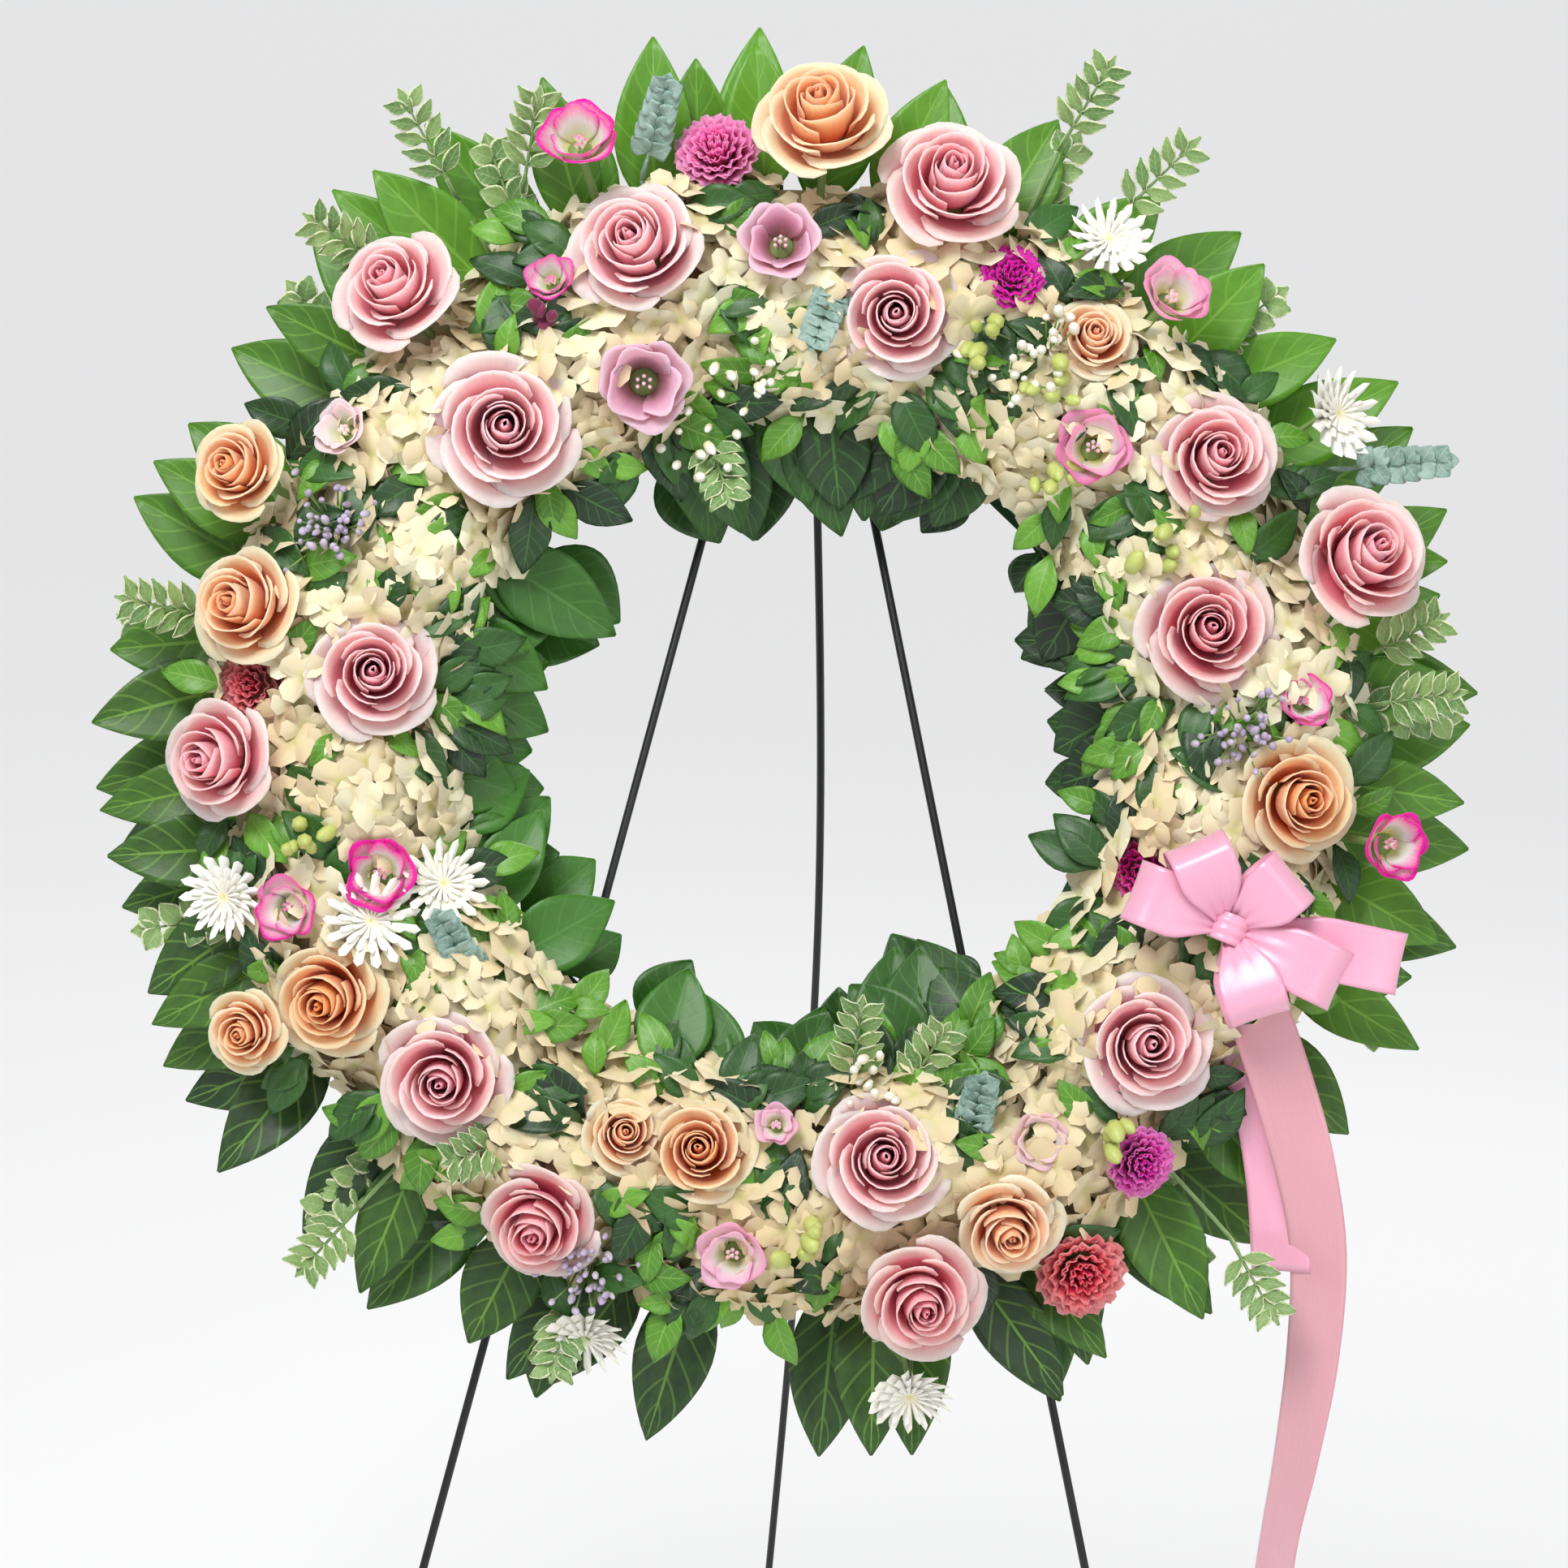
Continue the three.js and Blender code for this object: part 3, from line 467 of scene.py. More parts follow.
class PetalTone:
    """The shader group that colours a petal from its heart to its rim, with fine veins along it."""

    NAME = "petal_tone"
    COLOURS = ("Deep", "Body", "Rim")

    @classmethod
    def group(cls) -> bpy.types.ShaderNodeTree:
        """Return the group, built on first use.

        Returns:
            The shader group.
        """
        if cls.NAME in bpy.data.node_groups:
            return bpy.data.node_groups[cls.NAME]
        tree = bpy.data.node_groups.new(cls.NAME, "ShaderNodeTree")
        for name in cls.COLOURS:
            tree.interface.new_socket(name, in_out="INPUT", socket_type="NodeSocketColor")
        tree.interface.new_socket("Heart pull", in_out="INPUT", socket_type="NodeSocketFloat")
        tree.interface.new_socket("Colour", in_out="OUTPUT", socket_type="NodeSocketColor")
        tree.interface.new_socket("Veins", in_out="OUTPUT", socket_type="NodeSocketFloat")
        entry, result = tree.nodes.new("NodeGroupInput"), tree.nodes.new("NodeGroupOutput")
        uv = tree.nodes.new("ShaderNodeUVMap")
        uv.uv_map = "UVMap"
        split = tree.nodes.new("ShaderNodeSeparateXYZ")
        tree.links.new(uv.outputs[0], split.inputs[0])
        heart, tint = (tree.nodes.new("ShaderNodeAttribute") for _ in range(2))
        heart.attribute_name, tint.attribute_name = "heart", "tint"
        along = split.outputs[1]
        veins = Shade.noise(tree, uv.outputs[0], 1.0, 3.0, (34, 2.2, 1))
        wander = Shade.maths(tree, "MULTIPLY_ADD", veins, 0.16)
        wander.node.inputs[2].default_value = -0.08
        lift = Shade.maths(tree, "ADD", along, wander)
        pulled = Shade.maths(tree, "MULTIPLY", heart.outputs["Fac"], entry.outputs["Heart pull"])
        level = Shade.maths(tree, "SUBTRACT", lift, pulled, clamp=True)
        low = Shade.maths(tree, "MULTIPLY", level, 1.7, clamp=True)
        high = Shade.maths(tree, "MULTIPLY_ADD", level, 2.4, clamp=True)
        high.node.inputs[2].default_value = -1.35
        body = Shade.mix(tree, "MIX", low, entry.outputs["Deep"], entry.outputs["Body"])
        rim = Shade.mix(tree, "MIX", high, body, entry.outputs["Rim"])
        shade = Shade.maths(tree, "MULTIPLY_ADD", tint.outputs["Fac"], 0.16)
        shade.node.inputs[2].default_value = 0.9
        lit = tree.nodes.new("ShaderNodeHueSaturation")
        tree.links.new(shade, lit.inputs["Value"])
        strength = Shade.maths(tree, "MULTIPLY_ADD", tint.outputs["Fac"], -0.5)
        strength.node.inputs[2].default_value = 1.45
        tree.links.new(strength, lit.inputs["Saturation"])
        tree.links.new(rim, lit.inputs["Color"])
        tree.links.new(lit.outputs[0], result.inputs["Colour"])
        tree.links.new(veins, result.inputs["Veins"])
        return tree


@dataclass(frozen=True)
class PetalFinish(Finish):
    """A petal's finish: colours at its base, over its body and along its rim."""

    name: str
    deep: Colour
    body: Colour
    rim: Colour
    heart_pull: float = 0.5
    roughness: float = 0.55

    def paint(self, tree: bpy.types.ShaderNodeTree, shader: bpy.types.Node) -> None:
        """Set up the shader's nodes and sockets.

        Args:
            tree: Node tree of the material.
            shader: Its Principled shader.
        """
        tone = tree.nodes.new("ShaderNodeGroup")
        tone.node_tree = PetalTone.group()
        for socket, colour in zip(PetalTone.COLOURS, (self.deep, self.body, self.rim)):
            tone.inputs[socket].default_value = (*colour, 1)
        tone.inputs["Heart pull"].default_value = self.heart_pull
        tree.links.new(tone.outputs["Colour"], shader.inputs["Base Color"])
        Shade.bump(tree, tone.outputs["Veins"], shader, 0.25, 0.0006)
        shader.inputs["Roughness"].default_value = self.roughness
        shader.inputs["Sheen Weight"].default_value = 0.2
        shader.inputs["Sheen Roughness"].default_value = 0.5
        shader.inputs["Subsurface Weight"].default_value = 0.5
        shader.inputs["Subsurface Radius"].default_value = (1.0, 0.45, 0.4)
        shader.inputs["Subsurface Scale"].default_value = 0.01
        shader.inputs["Specular IOR Level"].default_value = 0.3


class LeafVeins:
    """The shader group that draws a leaf's midrib, side veins and pale margin on its UV map."""

    NAME = "leaf_veins"

    @classmethod
    def group(cls) -> bpy.types.ShaderNodeTree:
        """Return the group, built on first use.

        Returns:
            The shader group.
        """
        if cls.NAME in bpy.data.node_groups:
            return bpy.data.node_groups[cls.NAME]
        tree = bpy.data.node_groups.new(cls.NAME, "ShaderNodeTree")
        tree.interface.new_socket("Side veins", in_out="INPUT", socket_type="NodeSocketFloat")
        for name in ("Vein", "Margin", "Mottle"):
            tree.interface.new_socket(name, in_out="OUTPUT", socket_type="NodeSocketFloat")
        entry, result = tree.nodes.new("NodeGroupInput"), tree.nodes.new("NodeGroupOutput")
        uv = tree.nodes.new("ShaderNodeUVMap")
        uv.uv_map = "UVMap"
        split = tree.nodes.new("ShaderNodeSeparateXYZ")
        tree.links.new(uv.outputs[0], split.inputs[0])
        off = Shade.maths(tree, "ABSOLUTE", Shade.maths(tree, "SUBTRACT", split.outputs[0], 0.5))
        mid = Shade.maths(tree, "LESS_THAN", off, 0.022)
        slope = Shade.maths(tree, "SUBTRACT", split.outputs[1], Shade.maths(tree, "MULTIPLY", off, 0.42))
        wave = Shade.maths(tree, "FRACT", Shade.maths(tree, "MULTIPLY", slope, entry.outputs["Side veins"]))
        line = Shade.maths(tree, "ABSOLUTE", Shade.maths(tree, "SUBTRACT", wave, 0.5))
        side = Shade.maths(tree, "LESS_THAN", line, 0.07)
        vein = Shade.maths(tree, "MAXIMUM", mid, Shade.maths(tree, "MULTIPLY", side, 0.55))
        wander = Shade.noise(tree, uv.outputs[0], 1.0, 2.0, (4, 9, 1))
        edge = Shade.maths(tree, "ADD", off, Shade.maths(tree, "MULTIPLY", wander, 0.22))
        margin = Shade.maths(tree, "GREATER_THAN", edge, 0.53)
        tree.links.new(vein, result.inputs["Vein"])
        tree.links.new(margin, result.inputs["Margin"])
        tree.links.new(Shade.noise(tree, uv.outputs[0], 1.0, 3.0, (6, 10, 1)), result.inputs["Mottle"])
        return tree


@dataclass(frozen=True)
class LeafFinish(Finish):
    """A leaf's finish: blade colours, vein colour and, on a variegated leaf, its pale margin."""

    name: str
    dark: Colour
    light: Colour
    vein: Colour
    margin: Colour | None = None
    side_veins: float = 7.0
    roughness: float = 0.46
    coat: float = 0.05

    def paint(self, tree: bpy.types.ShaderNodeTree, shader: bpy.types.Node) -> None:
        """Set up the shader's nodes and sockets.

        Args:
            tree: Node tree of the material.
            shader: Its Principled shader.
        """
        veins = tree.nodes.new("ShaderNodeGroup")
        veins.node_tree = LeafVeins.group()
        veins.inputs["Side veins"].default_value = self.side_veins
        tint = tree.nodes.new("ShaderNodeAttribute")
        tint.attribute_name = "tint"
        # On the large salal leaves the tint carries painted light; on the other leaves it varies at random.
        mottle = Shade.maths(tree, "MULTIPLY_ADD", veins.outputs["Mottle"], 0.5)
        tree.links.new(tint.outputs["Fac"], mottle.node.inputs[2])
        shade = Shade.maths(tree, "SUBTRACT", mottle, 0.25, clamp=True)
        blade = Shade.mix(tree, "MIX", shade, self.dark, self.light)
        drawn = Shade.maths(tree, "MULTIPLY", veins.outputs["Vein"], 0.6)
        colour = Shade.mix(tree, "MIX", drawn, blade, self.vein)
        if self.margin:
            colour = Shade.mix(tree, "MIX", veins.outputs["Margin"], colour, self.margin)
        tree.links.new(colour, shader.inputs["Base Color"])
        relief = Shade.maths(tree, "SUBTRACT", veins.outputs["Mottle"], veins.outputs["Vein"])
        Shade.bump(tree, relief, shader, 0.35, 0.0008)
        shader.inputs["Roughness"].default_value = self.roughness
        shader.inputs["Coat Weight"].default_value = self.coat
        shader.inputs["Coat Roughness"].default_value = 0.3


@dataclass(frozen=True)
class FloretFinish(Finish):
    """A small floret's finish: its eye, the two tones its petals vary between, and painted shade low down.
    """

    name: str
    eye: Colour
    warm: Colour
    cool: Colour
    roughness: float = 0.6
    # Tan of a painted shade on the lower florets, if any.
    painted_low_shade: Colour | None = None

    def paint(self, tree: bpy.types.ShaderNodeTree, shader: bpy.types.Node) -> None:
        """Set up the shader's nodes and sockets.

        Args:
            tree: Node tree of the material.
            shader: Its Principled shader.
        """
        tint, heart = (tree.nodes.new("ShaderNodeAttribute") for _ in range(2))
        tint.attribute_name, heart.attribute_name = "tint", "heart"
        place = tree.nodes.new("ShaderNodeTexCoord").outputs["Object"]
        drift = Shade.noise(tree, place, 14.0, 2.0)
        blend = Shade.maths(tree, "MULTIPLY_ADD", drift, 0.9, clamp=True)
        tree.links.new(Shade.maths(tree, "SUBTRACT", tint.outputs["Fac"], 0.45), blend.node.inputs[2])
        petal = Shade.mix(tree, "MIX", blend, self.warm, self.cool)
        # Painted shade: the lower a floret sits on the ring, the more it turns toward the tan, with some
        # noise.
        if self.painted_low_shade:
            split = tree.nodes.new("ShaderNodeSeparateXYZ")
            tree.links.new(place, split.inputs[0])
            low = Shade.maths(tree, "MULTIPLY_ADD", split.outputs[2], -2.2, clamp=True)
            low.node.inputs[2].default_value = 1.9
            low_shade_mask = Shade.maths(tree, "MULTIPLY", low, Shade.maths(tree, "ADD", drift, 0.25), clamp=True)
            petal = Shade.mix(tree, "MIX", low_shade_mask, petal, self.painted_low_shade)
        inner = Shade.maths(tree, "POWER", heart.outputs["Fac"], 1.6)
        tree.links.new(Shade.mix(tree, "MIX", inner, petal, self.eye), shader.inputs["Base Color"])
        Shade.bump(tree, Shade.noise(tree, place, 420.0, 2.0), shader, 0.2, 0.0006)
        shader.inputs["Roughness"].default_value = self.roughness
        shader.inputs["Sheen Weight"].default_value = 0.2
        shader.inputs["Specular IOR Level"].default_value = 0.3


@dataclass(frozen=True)
class SatinFinish(Finish):
    """Woven satin ribbon: glossy along its length, with a fine weave and a denser selvage."""

    name: str = "satin_weave"
    light: Colour = (0.90, 0.42, 0.57)
    dark: Colour = (0.76, 0.28, 0.43)
    threads: float = 150.0

    def paint(self, tree: bpy.types.ShaderNodeTree, shader: bpy.types.Node) -> None:
        """Set up the shader's nodes and sockets.

        Args:
            tree: Node tree of the material.
            shader: Its Principled shader.
        """
        uv = tree.nodes.new("ShaderNodeUVMap")
        uv.uv_map = "UVMap"
        split = tree.nodes.new("ShaderNodeSeparateXYZ")
        tree.links.new(uv.outputs[0], split.inputs[0])
        phase = Shade.maths(tree, "MULTIPLY", split.outputs[0], self.threads * math.pi)
        thread = Shade.maths(tree, "SINE", phase)
        slub = Shade.noise(tree, uv.outputs[0], 1.0, 3.0, (60, 5, 1))
        off = Shade.maths(tree, "ABSOLUTE", Shade.maths(tree, "SUBTRACT", split.outputs[0], 0.5))
        selvage = Shade.maths(tree, "GREATER_THAN", off, 0.475)
        tone = Shade.maths(tree, "ADD", Shade.maths(tree, "MULTIPLY", slub, 0.5),
                           Shade.maths(tree, "MULTIPLY", selvage, 0.3), clamp=True)
        tree.links.new(Shade.mix(tree, "MIX", tone, self.light, self.dark), shader.inputs["Base Color"])
        height = Shade.maths(tree, "ADD", Shade.maths(tree, "MULTIPLY", thread, 0.4), slub)
        Shade.bump(tree, height, shader, 0.12, 0.0004)
        rough = Shade.maths(tree, "MULTIPLY_ADD", slub, 0.16)
        rough.node.inputs[2].default_value = 0.2
        tree.links.new(rough, shader.inputs["Roughness"])
        shader.inputs["Anisotropic"].default_value = 0.5
        shader.inputs["Coat Weight"].default_value = 0.35
        shader.inputs["Coat Roughness"].default_value = 0.25
        shader.inputs["Sheen Weight"].default_value = 0.4
        shader.inputs["Specular IOR Level"].default_value = 0.7


@dataclass(frozen=True)
class BulkFinish(Finish):
    """Foam, moulded plastic, painted wire and stems: a grained colour on object coordinates."""

    name: str
    dark: Colour
    light: Colour
    grain: float
    relief: float
    roughness: float
    metallic: float = 0.0

    def paint(self, tree: bpy.types.ShaderNodeTree, shader: bpy.types.Node) -> None:
        """Set up the shader's nodes and sockets.

        Args:
            tree: Node tree of the material.
            shader: Its Principled shader.
        """
        place = tree.nodes.new("ShaderNodeTexCoord").outputs["Object"]
        grain = Shade.noise(tree, place, self.grain, 4.0)
        broad = Shade.noise(tree, place, self.grain / 12, 2.0)
        tone = Shade.maths(tree, "MULTIPLY", Shade.maths(tree, "ADD", grain, broad), 0.5)
        tree.links.new(Shade.mix(tree, "MIX", tone, self.dark, self.light), shader.inputs["Base Color"])
        Shade.bump(tree, grain, shader, 0.4, self.relief)
        rough = Shade.maths(tree, "MULTIPLY_ADD", grain, 0.2)
        rough.node.inputs[2].default_value = self.roughness - 0.1
        tree.links.new(rough, shader.inputs["Roughness"])
        shader.inputs["Metallic"].default_value = self.metallic


PINK_PETAL = PetalFinish("pink_rose_petal", (0.84, 0.21, 0.30), (0.94, 0.44, 0.49), (0.97, 0.75, 0.70), 0.42)
PEACH_PETAL = PetalFinish("peach_rose_petal", (0.90, 0.22, 0.12), (0.95, 0.52, 0.33),
                          (0.97, 0.79, 0.56), 0.6)
LISIANTHUS_PETAL = PetalFinish("pink_lisianthus_petal", (0.66, 0.62, 0.16), (0.94, 0.76, 0.76),
                               (0.86, 0.34, 0.50), 0.05)
PALE_CUP_PETAL = PetalFinish("pale_lisianthus_petal", (0.70, 0.62, 0.20), (0.95, 0.82, 0.74),
                             (0.90, 0.56, 0.60), 0.05)
EDGED_CUP_PETAL = PetalFinish("edged_lisianthus_petal", (0.62, 0.58, 0.12), (0.95, 0.86, 0.84),
                              (0.80, 0.08, 0.32), 0.05)
MAUVE_PETAL = PetalFinish("mauve_lisianthus_petal", (0.16, 0.09, 0.05), (0.74, 0.36, 0.47),
                          (0.85, 0.55, 0.64), 0.05)
HOT_PINK_PETAL = PetalFinish("hot_pink_carnation_petal", (0.55, 0.05, 0.20), (0.84, 0.15, 0.40),
                             (0.92, 0.36, 0.56), 0.3)
CORAL_PETAL = PetalFinish("coral_carnation_petal", (0.50, 0.05, 0.08), (0.80, 0.17, 0.21),
                          (0.90, 0.38, 0.38), 0.3)
MAGENTA_PETAL = PetalFinish("magenta_carnation_petal", (0.38, 0.02, 0.18), (0.64, 0.05, 0.33),
                            (0.82, 0.22, 0.52), 0.3)
# The cream hydrangea's last colour is the tan of the painted shade on its lower florets.
CREAM_FLORET = FloretFinish("cream_hydrangea", (0.58, 0.56, 0.22), (0.78, 0.64, 0.40),
                            (0.82, 0.79, 0.57), 0.6, (0.64, 0.48, 0.26))
DAISY_FLORET = FloretFinish("white_daisy", (0.70, 0.62, 0.20), (0.88, 0.86, 0.76), (0.93, 0.92, 0.86))
LAVENDER_FLORET = FloretFinish("lavender_filler", (0.28, 0.30, 0.16), (0.46, 0.36, 0.56), (0.62, 0.54, 0.70))
MAROON = FloretFinish("maroon_bud", (0.12, 0.02, 0.05), (0.16, 0.01, 0.05), (0.26, 0.03, 0.10), 0.5)
# SALAL_BRIGHT and SALAL_DARK are one salal leaf in lit and painted-shade tones; the darker one clothes the
# ring's inner wall.
SALAL_BRIGHT = LeafFinish("salal_bright", (0.012, 0.042, 0.008), (0.10, 0.30, 0.008), (0.20, 0.42, 0.05))
SALAL_DARK = LeafFinish("salal_dark", (0.008, 0.026, 0.008), (0.04, 0.17, 0.008), (0.08, 0.23, 0.04))
VARIEGATED = LeafFinish("variegated_blade", (0.10, 0.22, 0.06), (0.24, 0.38, 0.12), (0.40, 0.50, 0.24),
                        (0.66, 0.70, 0.44), 5.0, 0.5, 0.0)
SMALL_BRIGHT = LeafFinish("small_bright_leaf", (0.06, 0.20, 0.01), (0.14, 0.36, 0.03), (0.28, 0.48, 0.10))
# SMALL_DARK is a near-black copy of the small leaf: painted shade for the leaves hugging the blooms' edges.
SMALL_DARK = LeafFinish("small_dark_leaf", (0.008, 0.026, 0.008), (0.03, 0.12, 0.012), (0.06, 0.18, 0.04))
EUCALYPTUS = LeafFinish("eucalyptus_leaf", (0.17, 0.29, 0.24), (0.32, 0.46, 0.40), (0.44, 0.56, 0.48),
                        None, 4.0, 0.6, 0.0)
BUD_GREEN = BulkFinish("green_bud", (0.36, 0.44, 0.08), (0.66, 0.70, 0.24), 300, 0.0004, 0.45)
STEM_GREEN = BulkFinish("green_stem", (0.10, 0.20, 0.05), (0.24, 0.36, 0.10), 260, 0.0004, 0.5)
BED_GREEN = BulkFinish("hydrangea_bed", (0.16, 0.15, 0.06), (0.50, 0.44, 0.24), 160, 0.004, 0.8)
FOAM = BulkFinish("soaked_foam", (0.05, 0.15, 0.06), (0.12, 0.27, 0.11), 700, 0.0015, 0.95)
TRAY = BulkFinish("moulded_tray", (0.012, 0.045, 0.018), (0.02, 0.07, 0.03), 900, 0.0002, 0.42)
WIRE = BulkFinish("black_wire_paint", (0.006, 0.006, 0.006), (0.03, 0.03, 0.032), 500, 0.0002, 0.38, 0.3)
SATIN = SatinFinish()
# The tail's satin is a darker copy of the bow's: painted shade on the hanging tail.
TAIL_SATIN = SatinFinish("tail_satin_weave", (0.74, 0.36, 0.41), (0.60, 0.25, 0.30))


@dataclass(frozen=True)
class PetalLayer:
    """One whorl of petals, in shares of its bloom's radius and depth."""

    count: int
    rim_radius: float
    rim_height: float
    half_angle: float
    roll: float
    bulge: float = 0.05


class BloomKind(Enum):
    """How a bloom's petals are formed."""

    ROSE = "rose"
    CUP = "cup"
    FRILL = "frill"


ROSE_LAYERS = [
    PetalLayer(2, 0.015, 0.98, 155, 0.0, 0.07), PetalLayer(3, 0.13, 1.00, 118, 0.01, 0.09),
    PetalLayer(3, 0.25, 1.00, 100, 0.03, 0.10), PetalLayer(3, 0.43, 0.93, 84, 0.07, 0.11),
    PetalLayer(4, 0.66, 0.79, 66, 0.13, 0.10), PetalLayer(5, 0.90, 0.54, 54, 0.18, 0.07),
]
CUP_LAYERS = [PetalLayer(3, 0.72, 0.98, 66, 0.10), PetalLayer(3, 0.90, 0.90, 68, 0.16)]
FRILL_LAYERS = [
    PetalLayer(3, 0.10, 1.00, 90, 0.02), PetalLayer(5, 0.26, 0.99, 62, 0.06),
    PetalLayer(7, 0.44, 0.94, 46, 0.10), PetalLayer(8, 0.62, 0.85, 40, 0.13),
    PetalLayer(9, 0.78, 0.72, 36, 0.15), PetalLayer(9, 0.88, 0.55, 34, 0.16),
]
CUP_FINISHES = [EDGED_CUP_PETAL, MAUVE_PETAL, PALE_CUP_PETAL, LISIANTHUS_PETAL, EDGED_CUP_PETAL,
                EDGED_CUP_PETAL, LISIANTHUS_PETAL, PALE_CUP_PETAL]
ROSE_DEPTH, CUP_DEPTH, FRILL_DEPTH = 1.3, 1.25, 1.2
BASE_SINK = 0.15
CUP_RISE = 4


@dataclass
class Bloom:
    """One bloom on the wreath's face: its seat, stem and petals."""

    right: float
    up: float
    radius: float
    front: float
    kind: BloomKind
    rng: random.Random

    def __post_init__(self) -> None:
        """Work out the way the bloom looks and where its base sits."""
        share = {BloomKind.ROSE: ROSE_DEPTH, BloomKind.CUP: CUP_DEPTH, BloomKind.FRILL: FRILL_DEPTH}
        self.deep = self.radius * share[self.kind]
        reach = math.hypot(self.right, self.up)
        outward = np.array([self.right / reach, self.up / reach, 0])
        tilt = min(max((reach - RING_MID - 5) / 100, -0.35), 0.55) * 0.75
        self.axis = math.cos(tilt) * np.array([0, 0, 1.0]) + math.sin(tilt) * outward
        nod = [self.rng.uniform(-0.13, 0.13), self.rng.uniform(-0.06, 0.16), 0]
        self.axis = unit(self.axis + np.array(nod))
        self.base = np.array([self.right, self.up, self.front]) - self.axis * self.deep * BASE_SINK
        entry = min(max(reach - math.tan(tilt) * (self.front - FOAM_FRONT), FOAM_IN + 18), FOAM_OUT - 22)
        self.mouth = np.array([self.right * entry / reach, self.up * entry / reach, FOAM_FRONT])

    def petal(self, layer: PetalLayer, turn: float, rows: int, columns: int) -> Grid:
        """Shape one petal.

        Args:
            layer: The whorl it belongs to.
            turn: Angle of its middle round the bloom's axis.
            rows: Points from base to rim.
            columns: Points across.

        Returns:
            The petal's middle surface in flat mm.
        """
        rng, big, deep = self.rng, self.radius, self.deep
        s, a = np.meshgrid(np.linspace(0, 1, rows), np.linspace(-1, 1, columns), indexing="ij")
        half = math.radians(layer.half_angle) * rng.uniform(0.92, 1.08)
        phase = rng.uniform(0, 6.28)
        round_off = {BloomKind.ROSE: 0.2, BloomKind.CUP: 0.24, BloomKind.FRILL: 0.12}[self.kind]
        reach = s * (1 - round_off * np.abs(a) ** 2.6)
        if self.kind is BloomKind.FRILL:
            reach = reach * (1 - 0.05 * s**4 * (np.arange(columns) % 2))
        wide = 0.4 + 0.6 * np.sin(np.pi / 2 * np.minimum(1, s / 0.65))
        angle = turn + a * half * wide
        lip = smooth(0.68, 1.0, reach)
        rim_r = layer.rim_radius * big * rng.uniform(0.93, 1.05)
        rim_h = layer.rim_height * deep * rng.uniform(0.94, 1.03)
        foot_r, foot_h = 0.1 * big, 0.06 * deep
        r = foot_r + (rim_r - foot_r) * reach**0.62 + layer.bulge * big * np.sin(np.pi * reach)
        h = foot_h + (rim_h - foot_h) * reach**1.12
        roll = layer.roll * big * lip**1.5
        if self.kind is BloomKind.ROSE:
            roll = roll * (0.55 + 0.75 * np.abs(a) ** 1.6)
            r = r * (1 + 0.17 * a) + roll + 0.04 * big * lip * (1 - np.abs(a)) ** 2
            h = h - roll * 0.85 + 0.03 * big * np.sin(2.2 * a + phase) * s
        elif self.kind is BloomKind.CUP:
            ruffle = 0.07 * big * lip * np.sin(6.5 * a + phase)
            r = r * (1 + 0.06 * a) + roll + ruffle
            h = h - roll * 0.5 + 0.4 * ruffle
        else:
            ruffle = 0.055 * big * smooth(0.4, 1, s) * np.sin(9 * a + phase)
            r = r + roll + ruffle
            h = h - roll * 0.4 + 0.055 * big * lip * np.cos(11 * a + phase)
        first, second = across(self.axis)
        return (self.base + h[..., None] * self.axis + (r * np.cos(angle))[..., None] * first
                + (r * np.sin(angle))[..., None] * second)

    def petals(self, skin: Skin, layers: list[PetalLayer], rows: int, columns: int, thick: float) -> None:
        """Add all petals to a skin.

        Args:
            skin: The mesh under construction.
            layers: The whorls from the heart outward.
            rows: Points from base to rim.
            columns: Points across.
            thick: Petal thickness in mm.
        """
        turn, own = self.rng.uniform(0, 6.28), self.rng.random()
        for number, layer in enumerate(layers):
            heart = 1 - number / max(1, len(layers) - 1)
            turn += 0.7 + self.rng.uniform(0, 0.5)
            for k in range(layer.count):
                spin = turn + 2 * math.pi * (k + self.rng.uniform(-0.12, 0.12)) / layer.count
                grid = self.petal(layer, spin, rows, columns)
                skin.sheet(grid, thick, heart, 0.7 * own + 0.3 * self.rng.random())

    def stem(self, skin: Skin) -> None:
        """Add the calyx and the stem down into the foam to a skin.

        Args:
            skin: Skin to add to, in flat mm.
        """
        along = unit(self.mouth - self.base)
        points = np.array([self.mouth + along * 17, self.mouth, self.base - self.axis * 2,
                           self.base + self.axis * self.deep * 0.1])
        skin.tube(spline(points, 12), np.linspace(2.3, 2.6, 12), 8)
        bulb = [self.base + self.axis * self.deep * t for t in (0.0, 0.06, 0.14, 0.22)]
        skin.tube(np.array(bulb), self.radius * np.array([0.1, 0.28, 0.34, 0.3]), 12)


